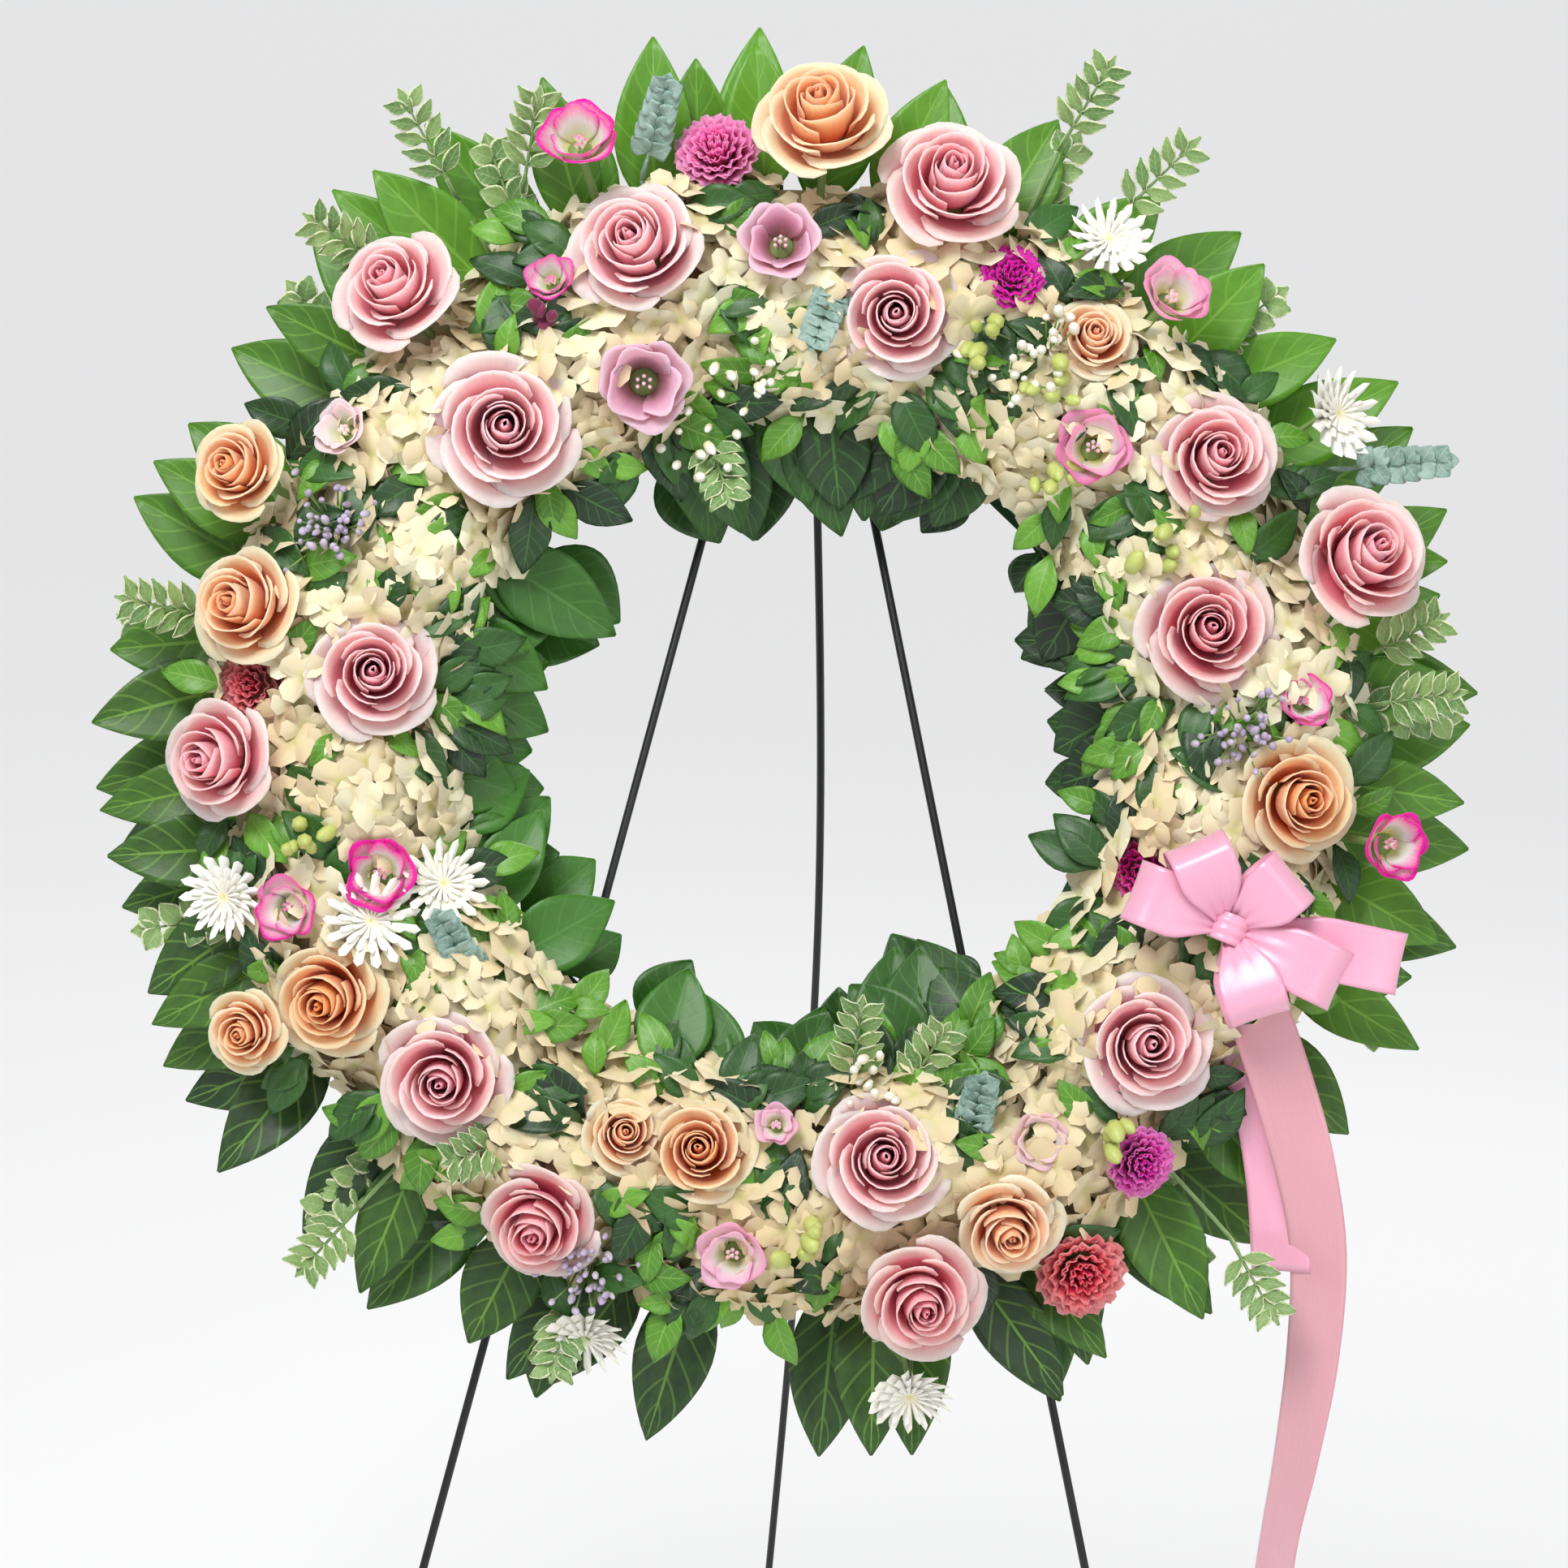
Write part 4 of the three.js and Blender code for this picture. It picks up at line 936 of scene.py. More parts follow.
@dataclass
class Flowers:
    """Roses, lisianthus and carnations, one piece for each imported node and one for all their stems."""

    plane: WreathPlane
    rng: random.Random = field(default_factory=lambda: random.Random(11))

    def build(self) -> None:
        """Build and dress every bloom."""
        stems = Skin()
        for i, spot in enumerate(PINK_ROSES):
            self.spray(f"pink_rose_{i + 1:02d}", [spot], BloomKind.ROSE, FRONT_TIER, PINK_PETAL,
                       stems)
        for i, spots in enumerate(PEACH_ROSES):
            self.spray(f"peach_rose_{i + 1}", spots, BloomKind.ROSE, FRONT_TIER, PEACH_PETAL,
                       stems)
        for i, spots in enumerate(LISIANTHUS):
            self.spray(f"lisianthus_{i + 1}", spots, BloomKind.CUP, FRONT_TIER + CUP_RISE, CUP_FINISHES[i],
                       stems)
        frills = {"hot_pink": HOT_PINK_PETAL, "coral": CORAL_PETAL, "magenta": MAGENTA_PETAL}
        for i, (colour, spot) in enumerate(CARNATIONS):
            front = BACK_TIER if spot[2] > BACK_TIER_RADIUS else FRONT_TIER
            self.spray(f"{colour}_carnation_{i + 1}", [spot], BloomKind.FRILL, front, frills[colour],
                       stems)
        piece = stems.build("bloom_stems", self.plane, STEM_GREEN.material())
        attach(piece, STAND)
        LOG.info("bloom_stems: calyxes and stems")

    def spray(self, node: str, spots: list, kind: BloomKind, front: float, finish: PetalFinish,
              stems: Skin) -> None:
        """Build the blooms of one node.

        Args:
            node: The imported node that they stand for.
            spots: Right, up and radius of each bloom.
            kind: How the petals are formed.
            front: Height of the blooms' seats.
            finish: Petal finish.
            stems: Mesh that collects the stems.
        """
        skin = Skin()
        for spot in spots:
            bloom = Bloom(*spot, front, kind, self.rng)
            if kind is BloomKind.ROSE:
                bloom.petals(skin, ROSE_LAYERS, 9, 11, 0.7)
            elif kind is BloomKind.CUP:
                bloom.petals(skin, CUP_LAYERS, 9, 15, 0.6)
                self.stamens(skin, bloom)
            else:
                bloom.petals(skin, FRILL_LAYERS, 6, 15, 0.5)
            bloom.stem(stems)
        piece = skin.build(f"{node}_petals", self.plane, finish.material())
        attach(piece, STAND)
        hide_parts(node)
        LOG.info("%s_petals: %d bloom(s)", node, len(spots))

    def stamens(self, skin: Skin, bloom: Bloom) -> None:
        """Add a cup's pistil and stamens to a skin.

        Args:
            skin: Skin to add to, in flat mm.
            bloom: The cup that they stand in.
        """
        first, second = across(bloom.axis)
        foot = bloom.base + bloom.axis * bloom.deep * 0.15
        for k in range(6):
            a = 2 * math.pi * k / 6
            out = (math.cos(a) * first + math.sin(a) * second) * bloom.radius * (0.16 if k else 0.0)
            tip = foot + out + bloom.axis * bloom.deep * (0.36 if k else 0.44)
            line = np.array([foot + out * 0.3, foot + out * 0.8 + bloom.axis * bloom.deep * 0.2, tip,
                             tip + bloom.axis * 1.6])
            skin.tube(line, np.array([0.5, 0.5, 1.3, 0.6]), 6, 1.0)


class Scatter:
    """A Geometry Nodes tree that sets a small shape on points, each along its own axis."""

    NAME = "scatter_on_points"

    @classmethod
    def tree(cls) -> bpy.types.GeometryNodeTree:
        """Return the tree, built on first use.

        Returns:
            The Geometry Nodes tree.
        """
        if cls.NAME in bpy.data.node_groups:
            return bpy.data.node_groups[cls.NAME]
        tree = bpy.data.node_groups.new(cls.NAME, "GeometryNodeTree")
        sockets = (("Geometry", "NodeSocketGeometry"), ("Shape", "NodeSocketObject"),
                   ("Size", "NodeSocketFloat"), ("Size spread", "NodeSocketFloat"),
                   ("Seed", "NodeSocketInt"), ("Finish", "NodeSocketMaterial"))
        for name, kind in sockets:
            tree.interface.new_socket(name, in_out="INPUT", socket_type=kind)
        tree.interface.new_socket("Geometry", in_out="OUTPUT", socket_type="NodeSocketGeometry")
        new, link = tree.nodes.new, tree.links.new
        entry, result = new("NodeGroupInput"), new("NodeGroupOutput")
        shape = new("GeometryNodeObjectInfo")
        link(entry.outputs["Shape"], shape.inputs["Object"])
        axis = new("GeometryNodeInputNamedAttribute")
        axis.data_type = "FLOAT_VECTOR"
        axis.inputs["Name"].default_value = "axis"
        align = new("FunctionNodeAlignRotationToVector")
        align.axis = "Z"
        link(axis.outputs["Attribute"], align.inputs["Vector"])
        draws = []
        for low, high in ((0.0, 2 * math.pi), (-1.0, 1.0), (0.0, 1.0)):
            draw = new("FunctionNodeRandomValue")
            draw.data_type = "FLOAT"
            draw.inputs[2].default_value, draw.inputs[3].default_value = low, high
            draw.inputs["ID"].default_value = 0
            shift = new("ShaderNodeMath")
            shift.inputs[1].default_value = float(len(draws) * 7)
            link(entry.outputs["Seed"], shift.inputs[0])
            link(shift.outputs[0], draw.inputs["Seed"])
            index = new("GeometryNodeInputIndex")
            link(index.outputs[0], draw.inputs["ID"])
            draws.append(draw.outputs[1])
        spin = new("FunctionNodeAxisAngleToRotation")
        spin.inputs["Axis"].default_value = (0, 0, 1)
        link(draws[0], spin.inputs["Angle"])
        turn = new("FunctionNodeRotateRotation")
        turn.rotation_space = "LOCAL"
        link(align.outputs[0], turn.inputs["Rotation"])
        link(spin.outputs[0], turn.inputs["Rotate By"])
        spread = Shade.maths(tree, "MULTIPLY", draws[1], entry.outputs["Size spread"])
        size = Shade.maths(tree, "MULTIPLY", entry.outputs["Size"], Shade.maths(tree, "ADD", spread, 1.0))
        place = new("GeometryNodeInstanceOnPoints")
        link(entry.outputs["Geometry"], place.inputs["Points"])
        link(shape.outputs["Geometry"], place.inputs["Instance"])
        link(turn.outputs[0], place.inputs["Rotation"])
        link(size, place.inputs["Scale"])
        store = new("GeometryNodeStoreNamedAttribute")
        store.domain, store.data_type = "INSTANCE", "FLOAT"
        store.inputs["Name"].default_value = "tint"
        link(place.outputs[0], store.inputs["Geometry"])
        link(draws[2], store.inputs["Value"])
        real, paint = new("GeometryNodeRealizeInstances"), new("GeometryNodeSetMaterial")
        link(store.outputs[0], real.inputs[0])
        link(real.outputs[0], paint.inputs["Geometry"])
        link(entry.outputs["Finish"], paint.inputs["Material"])
        link(paint.outputs[0], result.inputs["Geometry"])
        return tree

    @classmethod
    def run(cls, name: str, plane: WreathPlane, points: np.ndarray, axes: np.ndarray,
            shape: bpy.types.Object, size: float, spread: float, seed: int,
            finish: bpy.types.Material) -> bpy.types.Object:
        """Set a shape on points and return the plain mesh.

        Args:
            name: Name of the new piece.
            plane: The face that the points are laid out on.
            points: Flat points in mm.
            axes: The way each shape looks, as flat vectors.
            shape: Object of unit radius to repeat.
            size: Radius in mm.
            spread: Share by which sizes vary.
            seed: Seed of the draws.
            finish: Material of the result.

        Returns:
            The realised object, at the origin.
        """
        mesh = bpy.data.meshes.new(f"{name}_points")
        mesh.from_pydata([tuple(p) for p in plane.place(points)], [], [])
        turned = np.asarray(axes, float) @ plane.axes()
        mesh.attributes.new("axis", "FLOAT_VECTOR", "POINT").data.foreach_set("vector", turned.ravel())
        carrier = bpy.data.objects.new(f"{name}_points", mesh)
        bpy.context.scene.collection.objects.link(carrier)
        tree = cls.tree()
        change = carrier.modifiers.new("scatter", "NODES")
        change.node_group = tree
        values = {"Shape": shape, "Size": size * MM, "Size spread": spread, "Seed": seed, "Finish": finish}
        for item in tree.interface.items_tree:
            if item.in_out == "INPUT" and item.name in values:
                change[item.identifier] = values[item.name]
        bpy.context.view_layer.update()
        graph = bpy.context.evaluated_depsgraph_get()
        made = bpy.data.meshes.new_from_object(carrier.evaluated_get(graph))
        made.name = name
        bpy.data.objects.remove(carrier)
        piece = bpy.data.objects.new(name, made)
        bpy.context.scene.collection.objects.link(piece)
        return piece


CRISP_ANGLE = math.radians(75)


def unit_shape(name: str, verts: np.ndarray, faces: list, heart: np.ndarray) -> bpy.types.Object:
    """Make a small closed shape of about unit radius for the scatter tree.

    Args:
        name: Object name.
        verts: Its points.
        faces: Its faces.
        heart: Heart attribute for each point.

    Returns:
        The shape's object.
    """
    mesh = bpy.data.meshes.new(name)
    mesh.from_pydata([tuple(v) for v in verts], [], faces)
    mesh.attributes.new("heart", "FLOAT", "POINT").data.foreach_set("value", np.asarray(heart, float))
    shell = bmesh.new()
    shell.from_mesh(mesh)
    bmesh.ops.recalc_face_normals(shell, faces=shell.faces)
    for face in shell.faces:
        face.smooth = True
    for edge in shell.edges:
        edge.smooth = edge.calc_face_angle(0.0) < CRISP_ANGLE
    shell.to_mesh(mesh)
    shell.free()
    shape = bpy.data.objects.new(name, mesh)
    bpy.context.scene.collection.objects.link(shape)
    return shape


def star_shape(name: str, petals: int, notch: float, cup: float, root: float,
               spokes: int = 4) -> bpy.types.Object:
    """Make a floret: a star of petals over a pointed root.

    Args:
        name: Object name.
        petals: Number of petals.
        notch: Radius between two petals, as a share of their reach.
        cup: How far the petals' tips rise.
        root: Depth of the root.
        spokes: Points for each petal.

    Returns:
        The floret's object.
    """
    n = petals * spokes
    turn = np.arange(n) * 2 * math.pi / n
    lobe = np.abs(np.cos(turn * petals / 2)) ** 0.55
    reach = notch + (1 - notch) * lobe
    wave = 0.10 * np.sin(turn * petals + 0.8)
    rim = np.stack([reach * np.cos(turn), reach * np.sin(turn), cup * lobe + wave], axis=1)
    inside = 0.55 * reach
    mid = np.stack([inside * np.cos(turn), inside * np.sin(turn), 0.5 * cup * lobe + 0.08], axis=1)
    under = mid * [0.7, 0.7, 1] - [0, 0, 0.12]
    verts = np.vstack([rim, mid, under, [[0, 0, 0.0], [0, 0, -root]]])
    faces = []
    for k in range(n):
        j = (k + 1) % n
        faces += [(k, j, n + j, n + k), (n + k, n + j, 3 * n), (j, k, 2 * n + k, 2 * n + j),
                  (2 * n + j, 2 * n + k, 3 * n + 1)]
    heart = np.concatenate([np.zeros(n), np.full(n, 0.22), np.full(n, 0.3), [1.0, 0.6]])
    return unit_shape(name, verts, faces, heart)


@dataclass
class HydrangeaBed:
    """The bed of cream hydrangea under the blooms: a lumpy core and some hundred florets an arc."""

    plane: WreathPlane
    arcs: int = 5
    first_clock: float = -18.0
    mid: float = 262.0
    half: float = 76.0
    high: float = 24.0
    pitch: float = 12.0
    tries: int = 12000
    floret_r: float = 16.5
    head_r: float = 62.0
    heads: int = 22
    rng: random.Random = field(default_factory=lambda: random.Random(23))

    def blooms(self) -> np.ndarray:
        """Return right, up and radius of every bloom."""
        rows = list(PINK_ROSES) + [s for g in PEACH_ROSES for s in g] + [s for g in LISIANTHUS for s in g]
        return np.array(rows + [s for _, s in CARNATIONS], float)

    def spots(self) -> tuple[np.ndarray, np.ndarray]:
        """Spread the florets over the bed.

        Returns:
            Points and axes of all florets, in flat mm.
        """
        blooms = self.blooms()
        points: list[np.ndarray] = []
        axes: list[np.ndarray] = []
        flat = np.empty((0, 3))
        heads = np.array([self.plane.clock(360 * (k + self.rng.uniform(-0.2, 0.2)) / self.heads,
                                           self.mid + self.half * (0.42 if k % 2 else -0.36), 0)
                          for k in range(self.heads)])
        for _ in range(self.tries):
            offset = self.rng.uniform(-0.9, 0.92)
            degrees = self.rng.uniform(0, 360)
            lower = self.rng.random() < 0.35
            front = FOAM_FRONT + self.high * (1.62 - 0.95 * offset * offset) + self.rng.uniform(-4, 4)
            front -= 13 if lower else 0
            spot = self.plane.clock(degrees, self.mid + offset * self.half, front)
            away = np.linalg.norm(heads[:, :2] - spot[:2], axis=1)
            near = int(np.argmin(away))
            spot[2] += 12 * (0.5 - (away[near] / self.head_r) ** 2)
            room = np.hypot(blooms[:, 0] - spot[0], blooms[:, 1] - spot[1]) - blooms[:, 2]
            if room.min() < -3:
                continue
            if len(flat) and np.min(np.linalg.norm(flat - spot, axis=1)) < self.pitch:
                continue
            flat = np.vstack([flat, spot])
            lean = offset * 1.0
            outward = self.plane.clock(degrees, 1, 0)
            axis = math.cos(lean) * np.array([0, 0, 1.0]) + math.sin(lean) * outward
            axis = axis + np.array([*(spot[:2] - heads[near, :2]) / self.head_r * 0.7, 0])
            axis = axis + np.array([self.rng.uniform(-0.3, 0.3) for _ in range(3)])
            points.append(spot)
            axes.append(unit(axis))
        return np.array(points), np.array(axes)

    def core(self, number: int) -> Skin:
        """Return the lumpy core of one arc.

        Args:
            number: Which arc, from 0.

        Returns:
            The closed skin, in flat mm.
        """
        sweep = 360 / self.arcs - 0.6
        start = self.first_clock + number * 360 / self.arcs
        steps, around = 30, 14
        rings = []
        for i in range(steps + 1):
            degrees = start + sweep * i / steps
            ring = []
            for k in range(around):
                a = math.pi * k / (around - 1)
                lump = 1 + 0.10 * math.sin(degrees * 0.9 + 3 * a) + 0.06 * math.sin(degrees * 2.1 - 5 * a)
                ring.append(self.plane.clock(degrees, self.mid - math.cos(a) * self.half * 0.82,
                                             FOAM_FRONT + 0.4 + self.high * 1.15 * math.sin(a) * lump))
            rings.append(ring)
        top = np.array(rings)
        skin = Skin()
        low = top.copy()
        low[..., 2] = FOAM_FRONT + 0.3
        n, m = steps + 1, around
        k = np.arange(n * m).reshape(n, m)
        quads = np.stack([k[:-1, :-1], k[1:, :-1], k[1:, 1:], k[:-1, 1:]], axis=-1).reshape(-1, 4)
        faces = [tuple(q) for q in quads] + [tuple(q[::-1] + n * m) for q in quads]
        edge = np.concatenate([k[0, :], k[1:, -1], k[-1, -2::-1], k[-2:0:-1, 0]])
        faces += [(a, b, b + n * m, a + n * m) for a, b in zip(edge, np.roll(edge, -1))]
        verts = np.vstack([top.reshape(-1, 3), low.reshape(-1, 3)])
        skin.add(verts, faces, np.zeros((len(verts), 2)))
        return skin

    def build(self) -> None:
        """Build the arcs with their florets."""
        points, axes = self.spots()
        clocks = np.degrees(np.arctan2(points[:, 0], points[:, 1]))
        arc = ((clocks - self.first_clock) % 360 // (360 / self.arcs)).astype(int)
        shape = star_shape("hydrangea_floret", 4, 0.6, 0.2, 0.7)
        for i in range(self.arcs):
            mine = arc == i
            florets = Scatter.run(f"hydrangea_{i + 1}_florets", self.plane, points[mine], axes[mine], shape,
                                  self.floret_r, 0.2, 40 + i, CREAM_FLORET.material())
            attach(florets, STAND)
            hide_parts(f"hydrangea_{i + 1}")
            core = self.core(i).build(f"hydrangea_{i + 1}_core", self.plane, BED_GREEN.material())
            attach(core, STAND)
            LOG.info("hydrangea_%d_florets: %d florets", i + 1, int(mine.sum()))
        bpy.data.objects.remove(shape)


@dataclass
class LeafDraw:
    """The part's own draws for its leaves, so that each leaf lies along its solid."""

    state: int = 2695467192

    def next(self, low: float, high: float) -> float:
        """Return the next draw between low and high."""
        self.state = (self.state * 1664525 + 1013904223) % 4294967296
        return low + (high - low) * self.state / 4294967296


@dataclass
class Foliage:
    """Salal leaves round the ring's outer and inner walls, and the variegated sprigs."""

    plane: WreathPlane
    leaf_long: float = 84.0
    leaf_half: float = 22.0
    depths: tuple[float, float, float] = (15.0, 26.0, 37.0)
    sprig_front: float = 51.0
    sprig_long: float = 92.0
    short_half: float = 15.0
    rng: random.Random = field(default_factory=lambda: random.Random(31))

    def blade(self, root: np.ndarray, tip: np.ndarray, face: np.ndarray, half: float, arch: float,
              fold: float, rows: int = 15, columns: int = 11, stalk: float = 0.1) -> Grid:
        """Shape one leaf.

        Args:
            root: Where its stalk starts.
            tip: Its tip.
            face: The way its upper side looks.
            half: Half its width.
            arch: How far its middle rises over the line from root to tip.
            fold: How far its edges rise, as a share of the width.
            rows: Points along it.
            columns: Points across it.
            stalk: Share of its length that is bare stalk.

        Returns:
            Its middle surface in flat mm.
        """
        run = tip - root
        face = unit(face - unit(run) * face.dot(unit(run)))
        side = np.cross(face, unit(run))
        s, a = np.meshgrid(np.linspace(0, 1, rows), np.linspace(-1, 1, columns), indexing="ij")
        t = np.clip((s - stalk) / (1 - stalk), 0, 1)
        wide = np.maximum(np.sin(np.pi * t**0.82) ** 0.85 * half, 1.0 - 0.55 * t)
        wave = self.rng.uniform(0.5, 1.6) * np.sin(9 * s + self.rng.uniform(0, 6)) * np.abs(a) ** 2
        rise = arch * np.sin(np.pi * s) + fold * wide * np.abs(a) ** 1.3 + wave
        quilt = 0.5 * np.sin((s - 0.2 * np.abs(a)) * 46) * (1 - np.abs(a)) * np.minimum(1, wide / half)
        return (root + s[..., None] * run + (a * wide)[..., None] * side + (rise + quilt)[..., None] * face)

    def build(self) -> None:
        """Build all leafy stems and sprigs."""
        draws = LeafDraw()
        for i, leaves in enumerate(OUTER_ARCS):
            self.leafy_stem(f"salal_outer_{i + 1}", leaves, OUTER_TWIG, False, SALAL_BRIGHT, draws)
        # Inner leaves take the darker salal finish: painted shade in the ring's hole.
        for i, leaves in enumerate(INNER_ARCS):
            self.leafy_stem(f"salal_inner_{i + 1}", leaves, INNER_TWIG, True, SALAL_DARK, draws)
        for i, clocks in enumerate(SPRIG_ARCS):
            self.sprigs(f"variegated_sprigs_{i + 1}", clocks)

    def twig(self, skin: Skin, start: float, sweep: float, radius: float, front: float) -> None:
        """Add the twig that carries leaves, bent round the foam's wall."""
        points = [self.plane.clock(start + sweep * k / 30, radius, front) for k in range(31)]
        skin.tube(np.array(points), TWIG_R * 0.9, 8, 0.2)

    def leafy_stem(self, node: str, leaves: list, radius: float, inward: bool, finish: LeafFinish,
                   draws: LeafDraw) -> None:
        """Build one stem of large leaves.

        Args:
            node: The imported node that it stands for.
            leaves: Clock angle and tip reach of each leaf.
            radius: Radius of the twig.
            inward: Whether the leaves point into the hole.
            finish: Leaf finish.
            draws: The part's own draws.
        """
        skin = Skin()
        start = leaves[0][0]
        sweep = max((degrees - start) % 360 for degrees, _ in leaves) + 3
        self.twig(skin, start - 2, sweep, radius, self.depths[1])
        for i, (degrees, reach) in enumerate(leaves):
            root = self.plane.clock(degrees, radius, self.depths[1])
            stretch = 1.0 if inward else 1.02
            tip = self.plane.clock(degrees + draws.next(-4, 4), reach * stretch, self.depths[i % 3])
            long = float(np.linalg.norm(tip - root))
            half = self.leaf_half * (0.8 if inward else 1.0) * min(1, long / self.leaf_long)
            half = max(half, 0.34 * long if inward else self.short_half) * 1.08
            # Painted light: outer leaves are lightest near the top of the ring, inner ones near its left
            # side.
            brightest = 250 if inward else 20
            self.leaf(skin, root, tip, half, degrees, brightest)
            ahead = leaves[(i + 1) % len(leaves)]
            gap = (ahead[0] - degrees) % 360
            extra = (max(2, round(gap / 5)) if inward else max(1, round(gap / 9))) if 4 < gap < 30 else 0
            for share in (np.arange(extra) + 1) / (extra + 1):
                middle, mean = degrees + gap * share + self.rng.uniform(-2, 2), (reach + ahead[1]) / 2
                lean = self.rng.uniform(-9, 9) * RING_MID / mean
                if inward:
                    root = self.plane.clock(middle, radius + 22, FOAM_FRONT + 6)
                    tip = self.plane.clock(middle + lean, mean + self.rng.uniform(-6, 16),
                                           self.rng.uniform(36, 58))
                else:
                    root = self.plane.clock(middle, radius + 3, self.rng.uniform(44, 60))
                    tip = self.plane.clock(middle + lean, mean * self.rng.uniform(0.97, 1.02),
                                           self.rng.uniform(46, 74))
                self.leaf(skin, root, tip, self.leaf_half * self.rng.uniform(0.85, 1.1), middle, brightest)
        piece = skin.build(f"{node}_leaves", self.plane, finish.material())
        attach(piece, STAND)
        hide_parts(node)
        LOG.info("%s_leaves: %d main leaves and those between them", node, len(leaves))

    def leaf(self, skin: Skin, root: np.ndarray, tip: np.ndarray, half: float, degrees: float,
             brightest: float) -> None:
        """Add one large leaf to a skin, with painted light: the nearer it is to a clock angle, the brighter
        it is.

        Args:
            skin: Skin to add to, in flat mm.
            root: Where the leaf starts.
            tip: Where it ends.
            half: Half its width.
            degrees: Its own clock angle.
            brightest: Clock angle where leaves are brightest.
        """
        grid = self.blade(root, tip, np.array([0, 0, 1.0]), half, 4.0, 0.2)
        # Painted light: the tint, which lightens the leaf's green, follows the clock angle.
        lit = 0.5 + 0.5 * math.cos(math.radians(degrees - brightest))
        skin.sheet(grid, 0.7, 0.0, min(max(0.8 * lit + self.rng.uniform(-0.12, 0.24), 0), 1))

    def sprig(self, skin: Skin, root: np.ndarray, tip: np.ndarray, pairs: int, long: float,
              half: float) -> None:
        """Add a stem of paired leaflets to a skin.

        Args:
            skin: The mesh under construction.
            root: Foot of the stem.
            tip: End of its last leaflet.
            pairs: Number of leaflet pairs.
            long: Length of the first leaflets.
            half: Half their width.
        """
        along = unit(tip - root)
        face = np.array([0, 0, 1.0])
        face = unit(face - along * face.dot(along))
        side = np.cross(face, along)
        skin.tube(np.linspace(root, tip - along * 6, 8), np.linspace(1.3, 0.6, 8), 6, 0.4)
        for k in range(pairs):
            foot = root + (tip - root) * (0.26 + 0.7 * k / pairs)
            for sign in (-1, 1):
                way = unit(along * 0.75 + side * sign + face * self.rng.uniform(0.0, 0.35))
                end = foot + way * long * (1 - 0.3 * k / pairs)
                leaflet = self.blade(foot, end, face, half, 1.2, 0.22, 8, 7, 0.08)
                skin.sheet(leaflet, 0.5, 0.0, self.rng.random())
        last = self.blade(tip - along * long * 0.8, tip, face, half * 0.85, 0.8, 0.22, 8, 7, 0.05)
        skin.sheet(last, 0.5, 0.0, 0.7)

    def sprigs(self, node: str, clocks: tuple) -> None:
        """Build the variegated sprigs of one node.

        Args:
            node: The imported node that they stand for.
            clocks: Clock angle of each sprig.
        """
        skin = Skin()
        sweep = (clocks[-1] - clocks[0]) % 360
        self.twig(skin, clocks[0] - 1, sweep + 2, OUTER_TWIG, self.sprig_front)
        for degrees in clocks:
            root = self.plane.clock(degrees, OUTER_TWIG, self.sprig_front)
            tip = self.plane.clock(degrees + 2, OUTER_TWIG + self.sprig_long, self.sprig_front + 4)
            self.sprig(skin, root, tip, 5, 21.0, 7.0)
        piece = skin.build(f"{node}_leaflets", self.plane, VARIEGATED.material())
        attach(piece, STAND)
        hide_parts(node)
        LOG.info("%s_leaflets: %d sprigs", node, len(clocks))


def bud_shape(name: str, profile: list[tuple[float, float]], sides: int = 7) -> bpy.types.Object:
    """Turn a profile of radius and height into a small closed bud for the scatter tree.

    Args:
        name: Name of the object.
        profile: Radius and height of each ring from the bottom, with both ends on the axis.
        sides: Sides of the bud.

    Returns:
        The bud's object.
    """
    turn = np.arange(sides) * 2 * math.pi / sides
    rings = [np.stack([q * np.cos(turn), q * np.sin(turn), np.full(sides, z)], axis=1)
             for q, z in profile[1:-1]]
    verts = np.vstack(rings + [[[0, 0, profile[0][1]], [0, 0, profile[-1][1]]]])
    n, faces = len(rings), []
    for k in range(sides):
        j = (k + 1) % sides
        faces += [(i * sides + k, i * sides + j, (i + 1) * sides + j, (i + 1) * sides + k)
                  for i in range(n - 1)]
        faces += [(n * sides, j, k), (n * sides + 1, (n - 1) * sides + k, (n - 1) * sides + j)]
    heart = np.concatenate([np.repeat(np.linspace(0.9, 0, n), sides), [1.0, 0.0]])
    return unit_shape(name, verts, faces, heart)


EUCALYPTUS_SPRIGS = [(-94, 326, 75, 60), (26, 276, 250, 55), (311, 170, 5, 75), (-167, -154, 120, 60),
                     (113, -234, 80, 50)]
DAISIES = [(310, 201, 30), (-197, -89, 27), (-319, -98, 28), (-104, -344, 26), (85, -372, 24),
           (178, 295, 31), (-236, -112, 20)]
LAVENDER = [(-263, 114), (265, 16), (-105, -312)]
GREEN_BUDS = [(143, 207), (216, 122), (-270, -61), (26, -288), (109, 236), (154, 160), (193, -222)]
WHITE_SPRAYS = [(-24, 204), (-60, 172), (52, -192), (145, 228), (122, 213)]
MAROON_BUD = (-147, 240)
FRONT_SPRIGS = [
    (-201, 311, 120, 70), (-164, 317, 80, 60), (-237, 267, 150, 60), (149, 352, 60, 60), (180, 309, 45, 70),
    (340, 33, 10, 55), (335, 60, 30, 55), (45, -205, 85, 62), (74, -205, 60, 55), (-53, 185, 290, 55),
    (-114, -326, 260, 50), (-240, -280, 230, 50), (-330, 61, 170, 60), (270, -280, 300, 55),
    (-146, -233, 200, 45),
]


